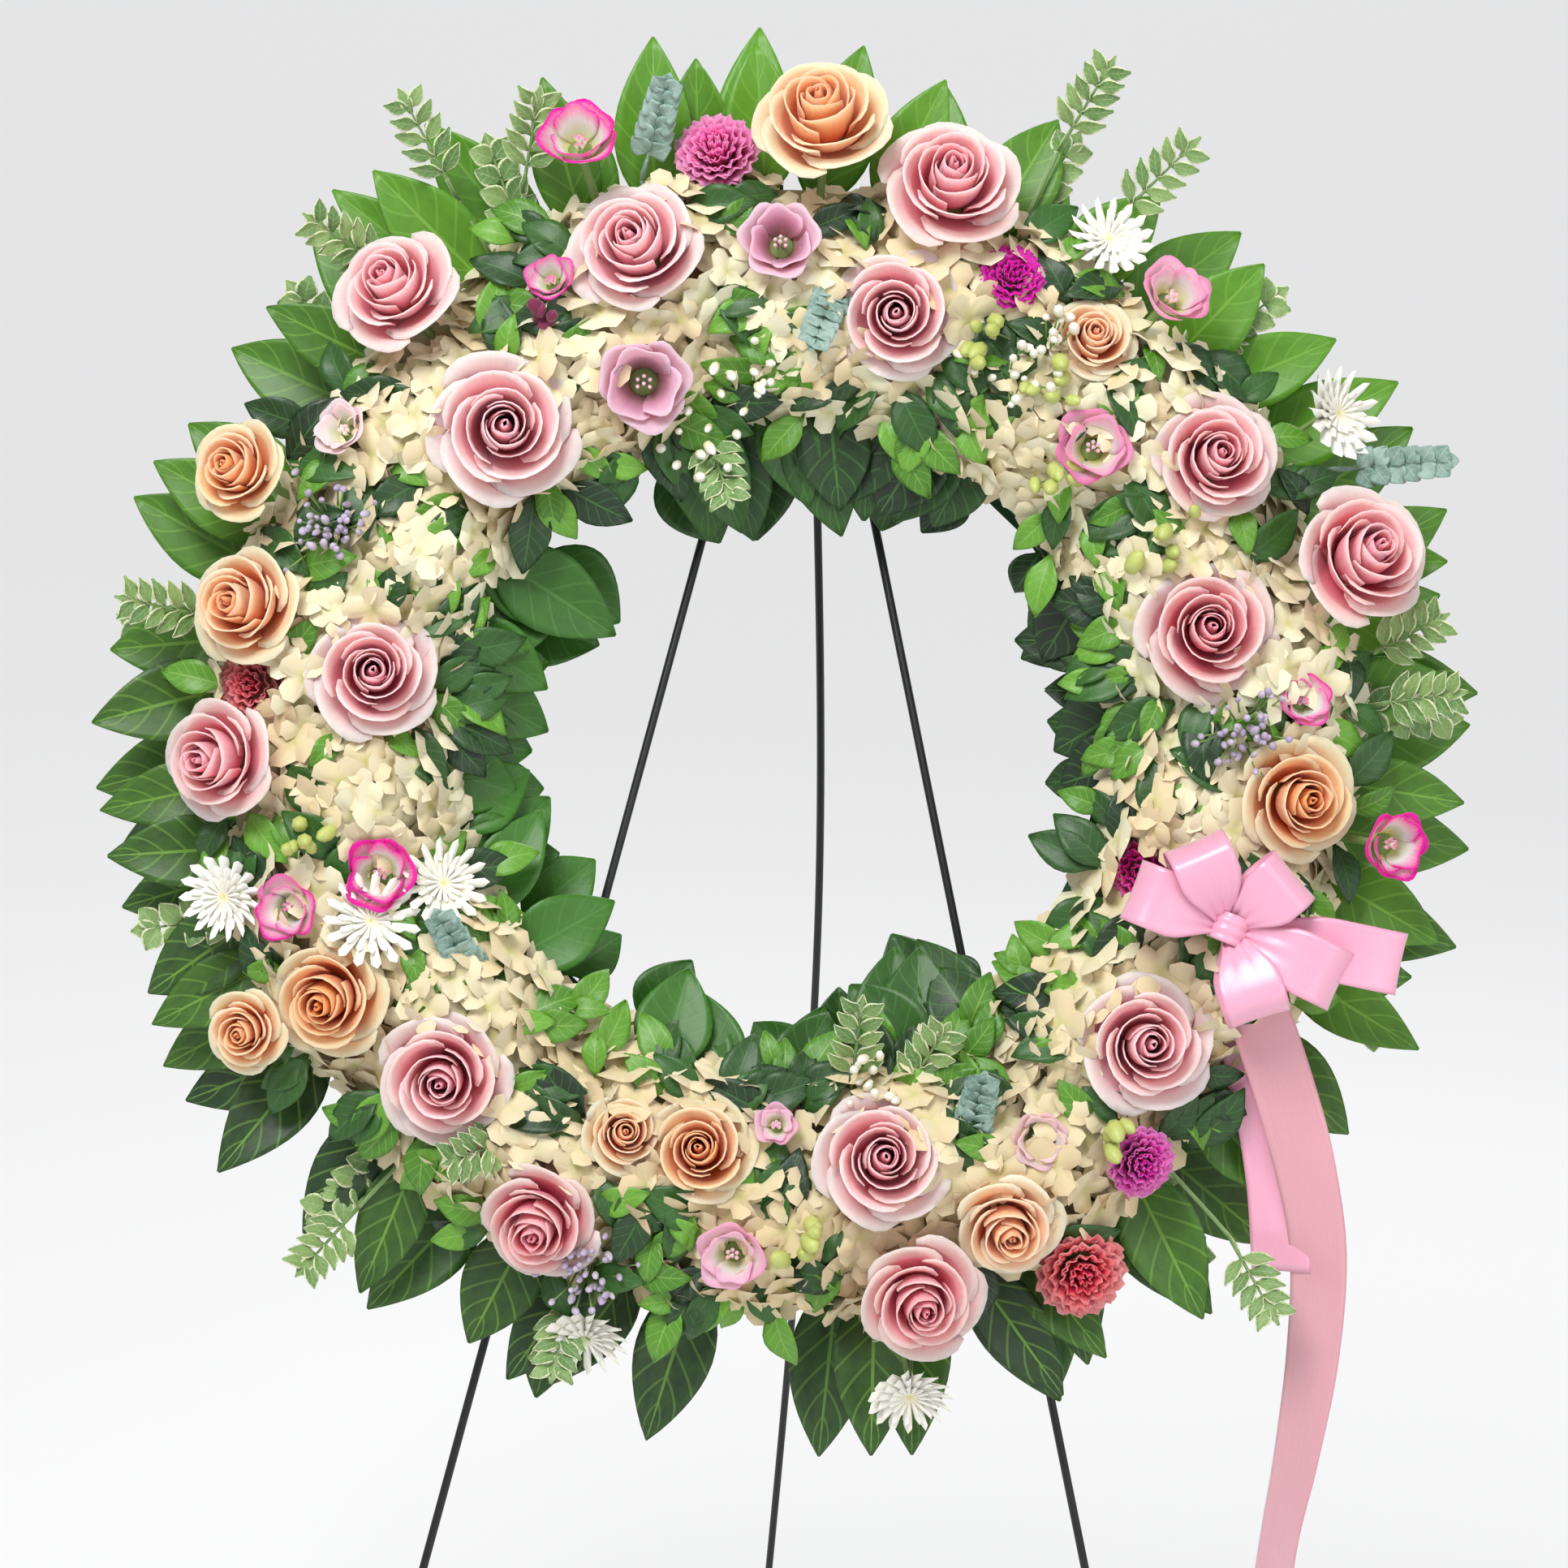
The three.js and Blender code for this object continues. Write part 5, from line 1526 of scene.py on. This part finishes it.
@dataclass
class Fillers:
    """What stands between the blooms: sprigs, eucalyptus, daisies, lavender, buds and small leaves."""

    foliage: Foliage
    bed: HydrangeaBed
    rng: random.Random = field(default_factory=lambda: random.Random(47))

    def top(self, right: float, up: float) -> float:
        """Return the height of the hydrangea bed's surface at a place."""
        offset = (math.hypot(right, up) - self.bed.mid) / self.bed.half
        return FOAM_FRONT + self.bed.high * (1.62 - 0.95 * min(offset * offset, 1.3))

    def seat(self, right: float, up: float) -> np.ndarray:
        """Return the nearest place just under the foam's face for a stem's foot.

        Args:
            right: Millimetres right of the ring's centre.
            up: Millimetres up from the ring's centre.

        Returns:
            The foot's flat point.
        """
        reach = math.hypot(right, up)
        held = min(max(reach, FOAM_IN + 12), FOAM_OUT - 8)
        return np.array([right * held / reach, up * held / reach, FOAM_FRONT - 4])

    def dress(self, piece: bpy.types.Object, slot: str, count: int) -> None:
        """Attach a filler piece to the stand and report it.

        Args:
            piece: The filler's object.
            slot: Name of a material slot; not used.
            count: How many it holds, for the log.
        """
        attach(piece, STAND)
        LOG.info("%s: %d", piece.name, count)

    def sprays(self, name: str, rows: list, finish: LeafFinish, pairs: int, long: float, half: float,
               slot: str) -> None:
        """Build sprigs that rise out of the bed.

        Args:
            name: Name of the piece.
            rows: Right, up, heading in degrees and length of each sprig.
            finish: Leaf finish.
            pairs: Leaflet pairs on each.
            long: Leaflet length.
            half: Half the leaflet width.
            slot: Name of a material slot, handed on to dress.
        """
        skin = Skin()
        for right, up, heading, reach in rows:
            a = math.radians(heading)
            root = np.array([right, up, self.top(right, up) - 8])
            tip = root + np.array([math.cos(a) * reach, math.sin(a) * reach, 26 + self.rng.uniform(0, 10)])
            foot = self.seat(right, up)
            bends = np.array([foot, (foot + root) / 2 + [0, 0, 4], root, root + (tip - root) * 0.2])
            skin.tube(spline(bends, 10), 1.3, 6, 0.4)
            self.foliage.sprig(skin, root, tip, pairs, long, half)
        self.dress(skin.build(name, self.foliage.plane, finish.material()), slot, len(rows))

    def outward(self, right: float, up: float, wander: float) -> np.ndarray:
        """Return the way a filler at a place looks: to the front, a little outward, with some wander.

        Args:
            right: Millimetres right of the ring's centre.
            up: Millimetres up from the ring's centre.
            wander: Largest random share along each axis.

        Returns:
            The unit vector.
        """
        reach = math.hypot(right, up)
        lean = (reach - self.bed.mid) / self.bed.half * 0.5
        axis = np.array([right / reach * lean, up / reach * lean, 1.0])
        return unit(axis + np.array([self.rng.uniform(-wander, wander) for _ in range(3)]))

    def daisies(self) -> None:
        """Build the white daisies in three whorls each."""
        shape = star_shape("daisy_whorl", 15, 0.42, 0.3, 0.5)
        whorls, stalks = [], Skin()
        for right, up, size in DAISIES:
            axis = self.outward(right, up, 0.2)
            head = np.array([right, up, self.top(right, up)])
            foot = self.seat(right, up)
            bends = [foot, (foot + head) / 2 - axis * 2, head - axis * 6, head + axis * 7]
            stalks.tube(np.array(bends), 1.6, 7)
            for scale, rise in ((1.0, 6.0), (0.72, 8.0), (0.45, 10.0)):
                whorls.append((np.array([right, up, self.top(right, up)]) + axis * rise, axis, size * scale))
        for level in range(3):
            group = whorls[level::3]
            points = np.array([w[0] for w in group])
            axes = np.array([w[1] for w in group])
            size = float(np.mean([w[2] for w in group]))
            piece = Scatter.run(f"daisy_whorls_{level + 1}", self.foliage.plane, points, axes, shape, size,
                                0.1, 60 + level, DAISY_FLORET.material())
            self.dress(piece, "cream_floret", len(group))
        stems = stalks.build("daisy_stalks", self.foliage.plane, STEM_GREEN.material())
        self.dress(stems, "salal_leaf", len(DAISIES))
        bpy.data.objects.remove(shape)

    def clusters(self, name: str, spots: list, each: int, spread: float, rise: float,
                 shape: bpy.types.Object, size: float, finish: FloretFinish | BulkFinish, slot: str,
                 seed: int) -> None:
        """Build clusters of buds on thin stalks.

        Args:
            name: Name of the piece.
            spots: Right and up of each cluster.
            each: Buds in a cluster.
            spread: Half the cluster's width.
            rise: Height of its top over the bed.
            shape: Bud to repeat.
            size: Bud radius in mm.
            finish: Bud finish.
            slot: Name of a material slot, handed on to dress.
            seed: Seed of the scatter.
        """
        points, axes, stalks = [], [], Skin()
        for right, up in spots:
            foot = self.seat(right, up)
            crown = np.array([right, up, self.top(right, up) - 10])
            for _ in range(each):
                way = self.outward(right, up, 0.6)
                spot = crown + np.array([self.rng.gauss(0, spread / 2), self.rng.gauss(0, spread / 2), 0])
                spot[2] += 10 + rise * self.rng.uniform(0.45, 1.0)
                points.append(spot)
                axes.append(way)
                stalks.tube(np.array([foot, (crown + spot) / 2, spot]), 0.6, 5)
        plane = self.foliage.plane
        piece = Scatter.run(name, plane, np.array(points), np.array(axes), shape, size, 0.25, seed,
                            finish.material())
        self.dress(piece, slot, len(points))
        self.dress(stalks.build(f"{name}_stalks", plane, STEM_GREEN.material()), "salal_leaf", len(points))
        bpy.data.objects.remove(shape)

    def leaves(self, name: str, tries: int, long: float, finish: LeafFinish, near: float) -> None:
        """Build small leaves that look out from under the blooms and between the florets.

        Args:
            name: Name of the piece.
            tries: Number of tries for a free place.
            long: Length of a leaf in mm.
            finish: Leaf finish.
            near: How far from a bloom's edge a leaf may start.
        """
        blooms = self.bed.blooms()
        skin, count = Skin(), 0
        for _ in range(tries):
            degrees, offset = self.rng.uniform(0, 360), self.rng.uniform(-0.95, 0.95)
            root = self.foliage.plane.clock(degrees, self.bed.mid + offset * self.bed.half, 0)
            room = np.hypot(blooms[:, 0] - root[0], blooms[:, 1] - root[1]) - blooms[:, 2]
            close = int(np.argmin(room))
            if not -6 < room[close] < near:
                continue
            way = math.atan2(root[1] - blooms[close, 1], root[0] - blooms[close, 0])
            way += self.rng.uniform(-0.8, 0.8)
            reach = long * self.rng.uniform(0.75, 1.2)
            tip = root + np.array([math.cos(way), math.sin(way), 0]) * reach
            if (np.hypot(blooms[:, 0] - tip[0], blooms[:, 1] - tip[1]) - blooms[:, 2]).min() < 4:
                continue
            root[2] = self.top(root[0], root[1]) - 2
            tip[2] = self.top(tip[0], tip[1]) + self.rng.uniform(2, 9)
            face = self.outward(root[0], root[1], 0.35)
            grid = self.foliage.blade(root, tip, face, reach * 0.27, 5.0, 0.18, 9, 7, 0.06)
            skin.sheet(grid, 0.6, 0.0, self.rng.random())
            count += 1
        self.dress(skin.build(name, self.foliage.plane, finish.material()), "salal_leaf", count)

    def build(self) -> None:
        """Build all fillers."""
        self.sprays("front_sprigs", FRONT_SPRIGS, VARIEGATED, pairs=5, long=21.0, half=4.6,
                    slot="variegated_leaf")
        self.sprays("eucalyptus_sprigs", EUCALYPTUS_SPRIGS, EUCALYPTUS, pairs=6, long=15.0, half=6.6,
                    slot="variegated_leaf")
        self.daisies()
        drop = [(0, -0.9), (0.45, -0.6), (0.6, 0.0), (0.5, 0.6), (0.2, 1.0), (0, 1.1)]
        self.clusters("lavender_heads", LAVENDER, each=46, spread=24, rise=26,
                      shape=bud_shape("lavender_bud", drop), size=3.4, finish=LAVENDER_FLORET,
                      slot="lisianthus_petal", seed=71)
        self.clusters("green_buds", GREEN_BUDS, each=6, spread=16, rise=26,
                      shape=bud_shape("green_bud_shape", drop), size=8.0, finish=BUD_GREEN,
                      slot="salal_leaf", seed=72)
        self.clusters("white_sprays", WHITE_SPRAYS, each=12, spread=22, rise=28,
                      shape=bud_shape("white_bud", drop), size=4.6, finish=DAISY_FLORET,
                      slot="cream_floret", seed=73)
        self.clusters("maroon_buds", [MAROON_BUD], each=5, spread=9, rise=22,
                      shape=bud_shape("maroon_bud", drop), size=6.5, finish=MAROON,
                      slot="magenta_petal", seed=74)
        self.leaves("small_bright_leaves", tries=330, long=34.0, finish=SMALL_BRIGHT, near=60.0)
        # Real small leaves at the blooms' edges, coloured near-black as painted shade.
        self.leaves("small_dark_leaves", tries=900, long=40.0, finish=SMALL_DARK, near=12.0)


@dataclass
class RibbonBow:
    """The satin bow with its short tail, and the long tail that hangs beside it."""

    plane: WreathPlane
    thick: float = 0.6
    knot_r: float = 10.5

    def strip(self, skin: Skin, path: np.ndarray, sides: np.ndarray, width: np.ndarray, pleats: float = 0.0,
              cup: float = 0.0) -> float:
        """Add a strip of ribbon to a skin.

        Args:
            skin: The mesh under construction.
            path: Its centre line.
            sides: The way it is wide at each point.
            width: Its width at each point.
            pleats: Depth of the gathers where it is narrow.
            cup: How far its edges curl.

        Returns:
            Its area in square mm.
        """
        run = np.gradient(path, axis=0)
        run /= np.linalg.norm(run, axis=1, keepdims=True)
        wide = sides - run * np.sum(sides * run, axis=1, keepdims=True)
        wide /= np.linalg.norm(wide, axis=1, keepdims=True)
        face = np.cross(run, wide)
        a = np.linspace(-1, 1, 13)
        narrow = np.clip(1 - width / RIBBON_WIDE, 0, 1)[:, None]
        lift = pleats * narrow * np.sin(a * 9.4)[None, :] + cup * (a**2 - 0.4)[None, :]
        grid = (path[:, None] + a[None, :, None] * (width / 2)[:, None, None] * wide[:, None]
                + lift[..., None] * face[:, None])
        skin.sheet(grid, self.thick)
        steps, rows = np.diff(grid, axis=0)[:, :-1], np.diff(grid, axis=1)[:-1]
        return float(np.linalg.norm(np.cross(steps, rows), axis=2).sum())

    def tail_route(self, route: list, behind: float, steps: int) -> tuple[np.ndarray, np.ndarray]:
        """Return a hanging tail's smooth centre line and the way it is wide along it.

        Args:
            route: Right and up of each point, and the tail's turn there in degrees.
            behind: How far behind the bow's front it starts, in mm.
            steps: Points along the line.

        Returns:
            The line's points and the width's unit vectors.
        """
        drop = math.tan(self.plane.lean)
        flat = [(r, u, BOW_FRONT - behind - (BOW[1] - u) * drop, d) for r, u, d in route]
        line = spline(np.array(flat, float), steps)
        turn = np.radians(line[:, 3])
        return line[:, :3], np.stack([np.cos(turn), 0 * turn, np.sin(turn)], axis=1)

    def build(self) -> None:
        centre = np.array([*BOW, BOW_FRONT])
        front = np.array([0, 0, 1.0])
        skin = Skin()
        area = 0.0
        for degrees, long, lift in BOW_LOOPS:
            a = math.radians(degrees)
            out, side = np.array([math.cos(a), math.sin(a), 0]), np.array([-math.sin(a), math.cos(a), 0])
            knots = [centre + out * x * long / 58 + front * (h * lift / 16 + 2) for x, h in LOOP_PATH]
            path = spline(np.array(knots), 34)
            reach = (path - centre) @ out * 58 / long
            width = np.where(reach < 30, 10 + (RIBBON_WIDE - 10) * smooth(2, 34, reach), RIBBON_WIDE)
            area += self.strip(skin, path, np.repeat(side[None], 34, axis=0), width, 1.6, 0.8)
        line, sides = self.tail_route(SHORT_TAIL, 20, 40)
        width = 10 + (RIBBON_WIDE - 10) * smooth(0, 8, np.arange(40.0))
        area += self.strip(skin, line, sides, width, 1.4, 0.5)
        turn = np.linspace(0, 2 * math.pi, 26)
        round_knot = np.outer(np.cos(turn), [0.94, -0.34, 0]) + np.outer(np.sin(turn), front)
        band = centre + self.knot_r * round_knot
        cross = np.repeat(np.array([[0.34, 0.94, 0]]), 26, axis=0)
        area += self.strip(skin, band, cross, np.full(26, 17.0), 1.4, 1.2)
        bow = skin.build("satin_bow_loops", self.plane, SATIN.material())
        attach(bow, STAND)
        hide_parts("satin_bow")

        pick = Skin()
        heights = (FOAM_FRONT - 17, FOAM_FRONT + 10, BOW_FRONT - 6)
        pick.tube(np.array([[*BOW, height] for height in heights]), 2.2, 10)
        stake = pick.build("bow_pick", self.plane, STEM_GREEN.material())
        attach(stake, STAND)
        LOG.info("bow_pick: stake under the bow")

        skin = Skin()
        line, sides = self.tail_route(LONG_TAIL, 10, 90)
        width = 12 + (RIBBON_WIDE - 12) * smooth(0, 9, np.arange(90.0))
        area = self.strip(skin, line, sides, width, 1.4, 0.6)
        # The long tail takes the darker satin, a painted shade.
        tail = skin.build("ribbon_tail_strip", self.plane, TAIL_SATIN.material())
        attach(tail, STAND)
        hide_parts("ribbon_tail")
        LOG.info("ribbon_tail_strip: %.0f mm of ribbon", area / RIBBON_WIDE)


@dataclass
class Easel:
    """The wire easel: round wires in place of the faceted ones, and the hinge bar's hooks."""

    plane: WreathPlane
    bar_up: float = 319.0
    leg_drop: float = 1168.0
    splay: float = 0.236
    top_x: float = 6.5
    hook_r: float = 2.0
    hook_x: float = 13.0
    rear_spread: float = math.radians(16)
    hook_bends: tuple = ((0, 14, 22), (0, 3, 17), (0, 0, 12), (0, 0, 3), (3, 0, 0))
    rear_bow: tuple = ((190, 16), (470, 26), (780, 18))

    def wire(self, name: str, points: np.ndarray, radius: float, node: str, body: str) -> None:
        """Build one round wire and let it stand for its node.

        Args:
            name: Name of the piece.
            points: Its centre line in flat mm.
            radius: Its radius.
            node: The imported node.
            body: The body that it rides on.
        """
        skin = Skin()
        ends = np.concatenate([[0.8], np.ones(len(points) - 2), [0.9]]) * radius
        skin.tube(points, ends, 16)
        self.dress(skin, name, node, body)

    def dress(self, skin: Skin, name: str, node: str, body: str) -> None:
        """Finish a wire piece and attach it to its body.

        Args:
            skin: The wire's skin.
            name: Name of the piece.
            node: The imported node.
            body: The body that it rides on.
        """
        piece = skin.build(name, self.plane, WIRE.material())
        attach(piece, body)
        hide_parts(node)
        LOG.info("%s: wire", name)

    def flat(self, x: float, y: float, z: float) -> np.ndarray:
        """Return a frame point in mm from the ring's centre as a flat point."""
        return self.plane.axes() @ np.array([x, y, z])

    def build(self) -> None:
        """Build the hinge bar and the three legs."""
        bends = [np.array([-(self.hook_x - i), self.bar_up + u, f]) for i, u, f in self.hook_bends]
        bends += [np.array([self.hook_x - i, self.bar_up + u, f]) for i, u, f in reversed(self.hook_bends)]
        self.wire("hinge_bar_wire", np.array(bends), self.hook_r, "easel_hinge_bar", STAND)
        drop = self.hook_r + 0.3 + WIRE_R * self.splay
        foot = WIRE_R * math.tan(self.plane.lean) + 2.0
        for sign, side in ((-1, "left"), (1, "right")):
            ends = [np.array([sign * (self.top_x + d * self.splay), self.bar_up - d, 0])
                    for d in (drop, drop + 1, self.leg_drop - foot - 1, self.leg_drop - foot)]
            self.wire(f"{side}_leg_wire", np.array(ends), WIRE_R, f"easel_{side}_leg", STAND)
        self.rear_leg()

    def rear_leg(self) -> None:
        """Build the rear leg with its eye round the hinge bar."""
        c, s = math.cos(self.plane.lean), math.sin(self.plane.lean)
        bar_y, bar_z = self.bar_up * s, self.bar_up * c
        eye = self.hook_r + 0.3 + 0.3 + self.hook_r
        turn = np.linspace(0, 2 * math.pi, 33)[:-1] + math.pi + self.rear_spread
        ring = [self.flat(0, bar_y - eye * math.sin(t), bar_z + eye * math.cos(t)) for t in turn]
        height = self.leg_drop * c - 2.0
        knots = [(eye * math.cos(self.rear_spread), 0.0), *self.rear_bow, (height, 0.0)]
        line = [self.flat(bow, bar_y + d * math.tan(self.rear_spread), bar_z - d) for d, bow in knots]
        skin = Skin()
        skin.tube(np.array(ring + ring[:1]), self.hook_r, 14)
        skin.tube(spline(np.array(line), 60), np.concatenate([[self.hook_r * 0.9], np.full(59, WIRE_R)]), 16)
        self.dress(skin, "rear_leg_wire", "easel_rear_leg", REAR)


class Studio:
    """Camera, floor and soft lights."""

    PHOTO_PX = 1932
    MM_PER_PX = 0.47
    RING_PX = (966, 915)
    ROLL = math.radians(1.9)
    DISTANCE = 2.6
    SENSOR = 36.0
    LAMPS = (("key", (-0.9, -2.2, 3.4), 1.5, 100.0), ("fill", (2.2, -2.6, 1.6), 2.0, 22.0),
             ("rim", (0.8, 1.8, 2.6), 1.5, 30.0))
    FILL_STRENGTH = 0.5
    PAPER_GLOW = 0.5

    def __init__(self, plane: WreathPlane) -> None:
        """Keep the face that the camera looks at."""
        self.plane = plane

    def camera(self) -> None:
        """Set the camera square to the wreath's face, rolled as in the photograph."""
        right, up, front = self.plane.axes()
        turned_right = math.cos(self.ROLL) * right + math.sin(self.ROLL) * up
        turned_up = math.cos(self.ROLL) * up - math.sin(self.ROLL) * right
        middle = self.PHOTO_PX / 2
        off_x = (middle - self.RING_PX[0]) * self.MM_PER_PX
        off_y = (self.RING_PX[1] - middle) * self.MM_PER_PX
        target = self.plane.place(np.array([0, 0, FRONT_TIER]))
        target = target + (turned_right * off_x + turned_up * off_y) * MM
        lens = bpy.data.cameras.new("photo_view")
        lens.sensor_width = self.SENSOR
        lens.lens = self.SENSOR * self.DISTANCE / (self.PHOTO_PX * self.MM_PER_PX * MM)
        eye = bpy.data.objects.new("photo_view", lens)
        turn = Matrix((turned_right, turned_up, front)).transposed().to_4x4()
        eye.matrix_world = Matrix.Translation(Vector(target + front * self.DISTANCE)) @ turn
        bpy.context.scene.collection.objects.link(eye)
        bpy.context.scene.camera = eye

    def floor(self) -> None:
        """Lay a plain pale floor that runs up into a backdrop."""
        profile = [(-6.0, 0.0), (4.0, 0.0)]
        profile += [(4.0 + 2 * math.sin(t), 2 - 2 * math.cos(t)) for t in np.linspace(0.15, math.pi / 2, 9)]
        profile += [(6.0, 7.0)]
        verts = [(x, y, z) for y, z in profile for x in (-9.0, 9.0)]
        faces = [(2 * i, 2 * i + 1, 2 * i + 3, 2 * i + 2) for i in range(len(profile) - 1)]
        mesh = bpy.data.meshes.new("studio_floor")
        mesh.from_pydata(verts, [], faces)
        mesh.polygons.foreach_set("use_smooth", np.ones(len(faces), bool))
        made, _, shader = Shade.material("studio_paper")
        shader.inputs["Base Color"].default_value = (0.4, 0.4, 0.4, 1)
        shader.inputs["Emission Color"].default_value = (1, 1, 1, 1)
        shader.inputs["Emission Strength"].default_value = self.PAPER_GLOW
        shader.inputs["Roughness"].default_value = 0.9
        mesh.materials.append(made)
        floor = bpy.data.objects.new("studio_floor", mesh)
        bpy.context.scene.collection.objects.link(floor)

    def lights(self) -> None:
        """Hang the soft lights and set the world's even fill."""
        target = Vector(self.plane.place(np.array([0, 0, 60.0])))
        for name, place, size, power in self.LAMPS:
            lamp = bpy.data.lights.new(f"{name}_light", "AREA")
            lamp.size = size
            lamp.energy = power
            hung = bpy.data.objects.new(f"{name}_light", lamp)
            hung.location = place
            hung.rotation_euler = (target - Vector(place)).to_track_quat("-Z", "Y").to_euler()
            bpy.context.scene.collection.objects.link(hung)
        world = bpy.context.scene.world or bpy.data.worlds.new("studio")
        bpy.context.scene.world = world
        world.use_nodes = True
        back = world.node_tree.nodes["Background"]
        back.inputs[0].default_value = (0.94, 0.95, 1.0, 1)
        back.inputs[1].default_value = self.FILL_STRENGTH
        bpy.context.scene.view_settings.view_transform = "Standard"

    def build(self) -> None:
        """Set up the whole studio."""
        self.camera()
        self.floor()
        self.lights()


def dress_kept_nodes() -> None:
    """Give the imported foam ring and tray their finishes."""
    for node, finish in (("foam_ring", FOAM), ("ring_tray", TRAY)):
        piece = bpy.data.objects[node]
        piece.data.materials.clear()
        piece.data.materials.append(finish.material())
        LOG.info("%s: packed solid with a new finish", node)


def main() -> None:
    """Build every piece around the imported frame."""
    logging.basicConfig(level=logging.INFO, format="%(name)s %(message)s")
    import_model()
    plane = WreathPlane.from_frame()
    Studio(plane).build()
    dress_kept_nodes()
    Easel(plane).build()
    Flowers(plane).build()
    bed, foliage = HydrangeaBed(plane), Foliage(plane)
    bed.build()
    foliage.build()
    Fillers(foliage, bed).build()
    RibbonBow(plane).build()


if __name__ == "__main__":
    main()
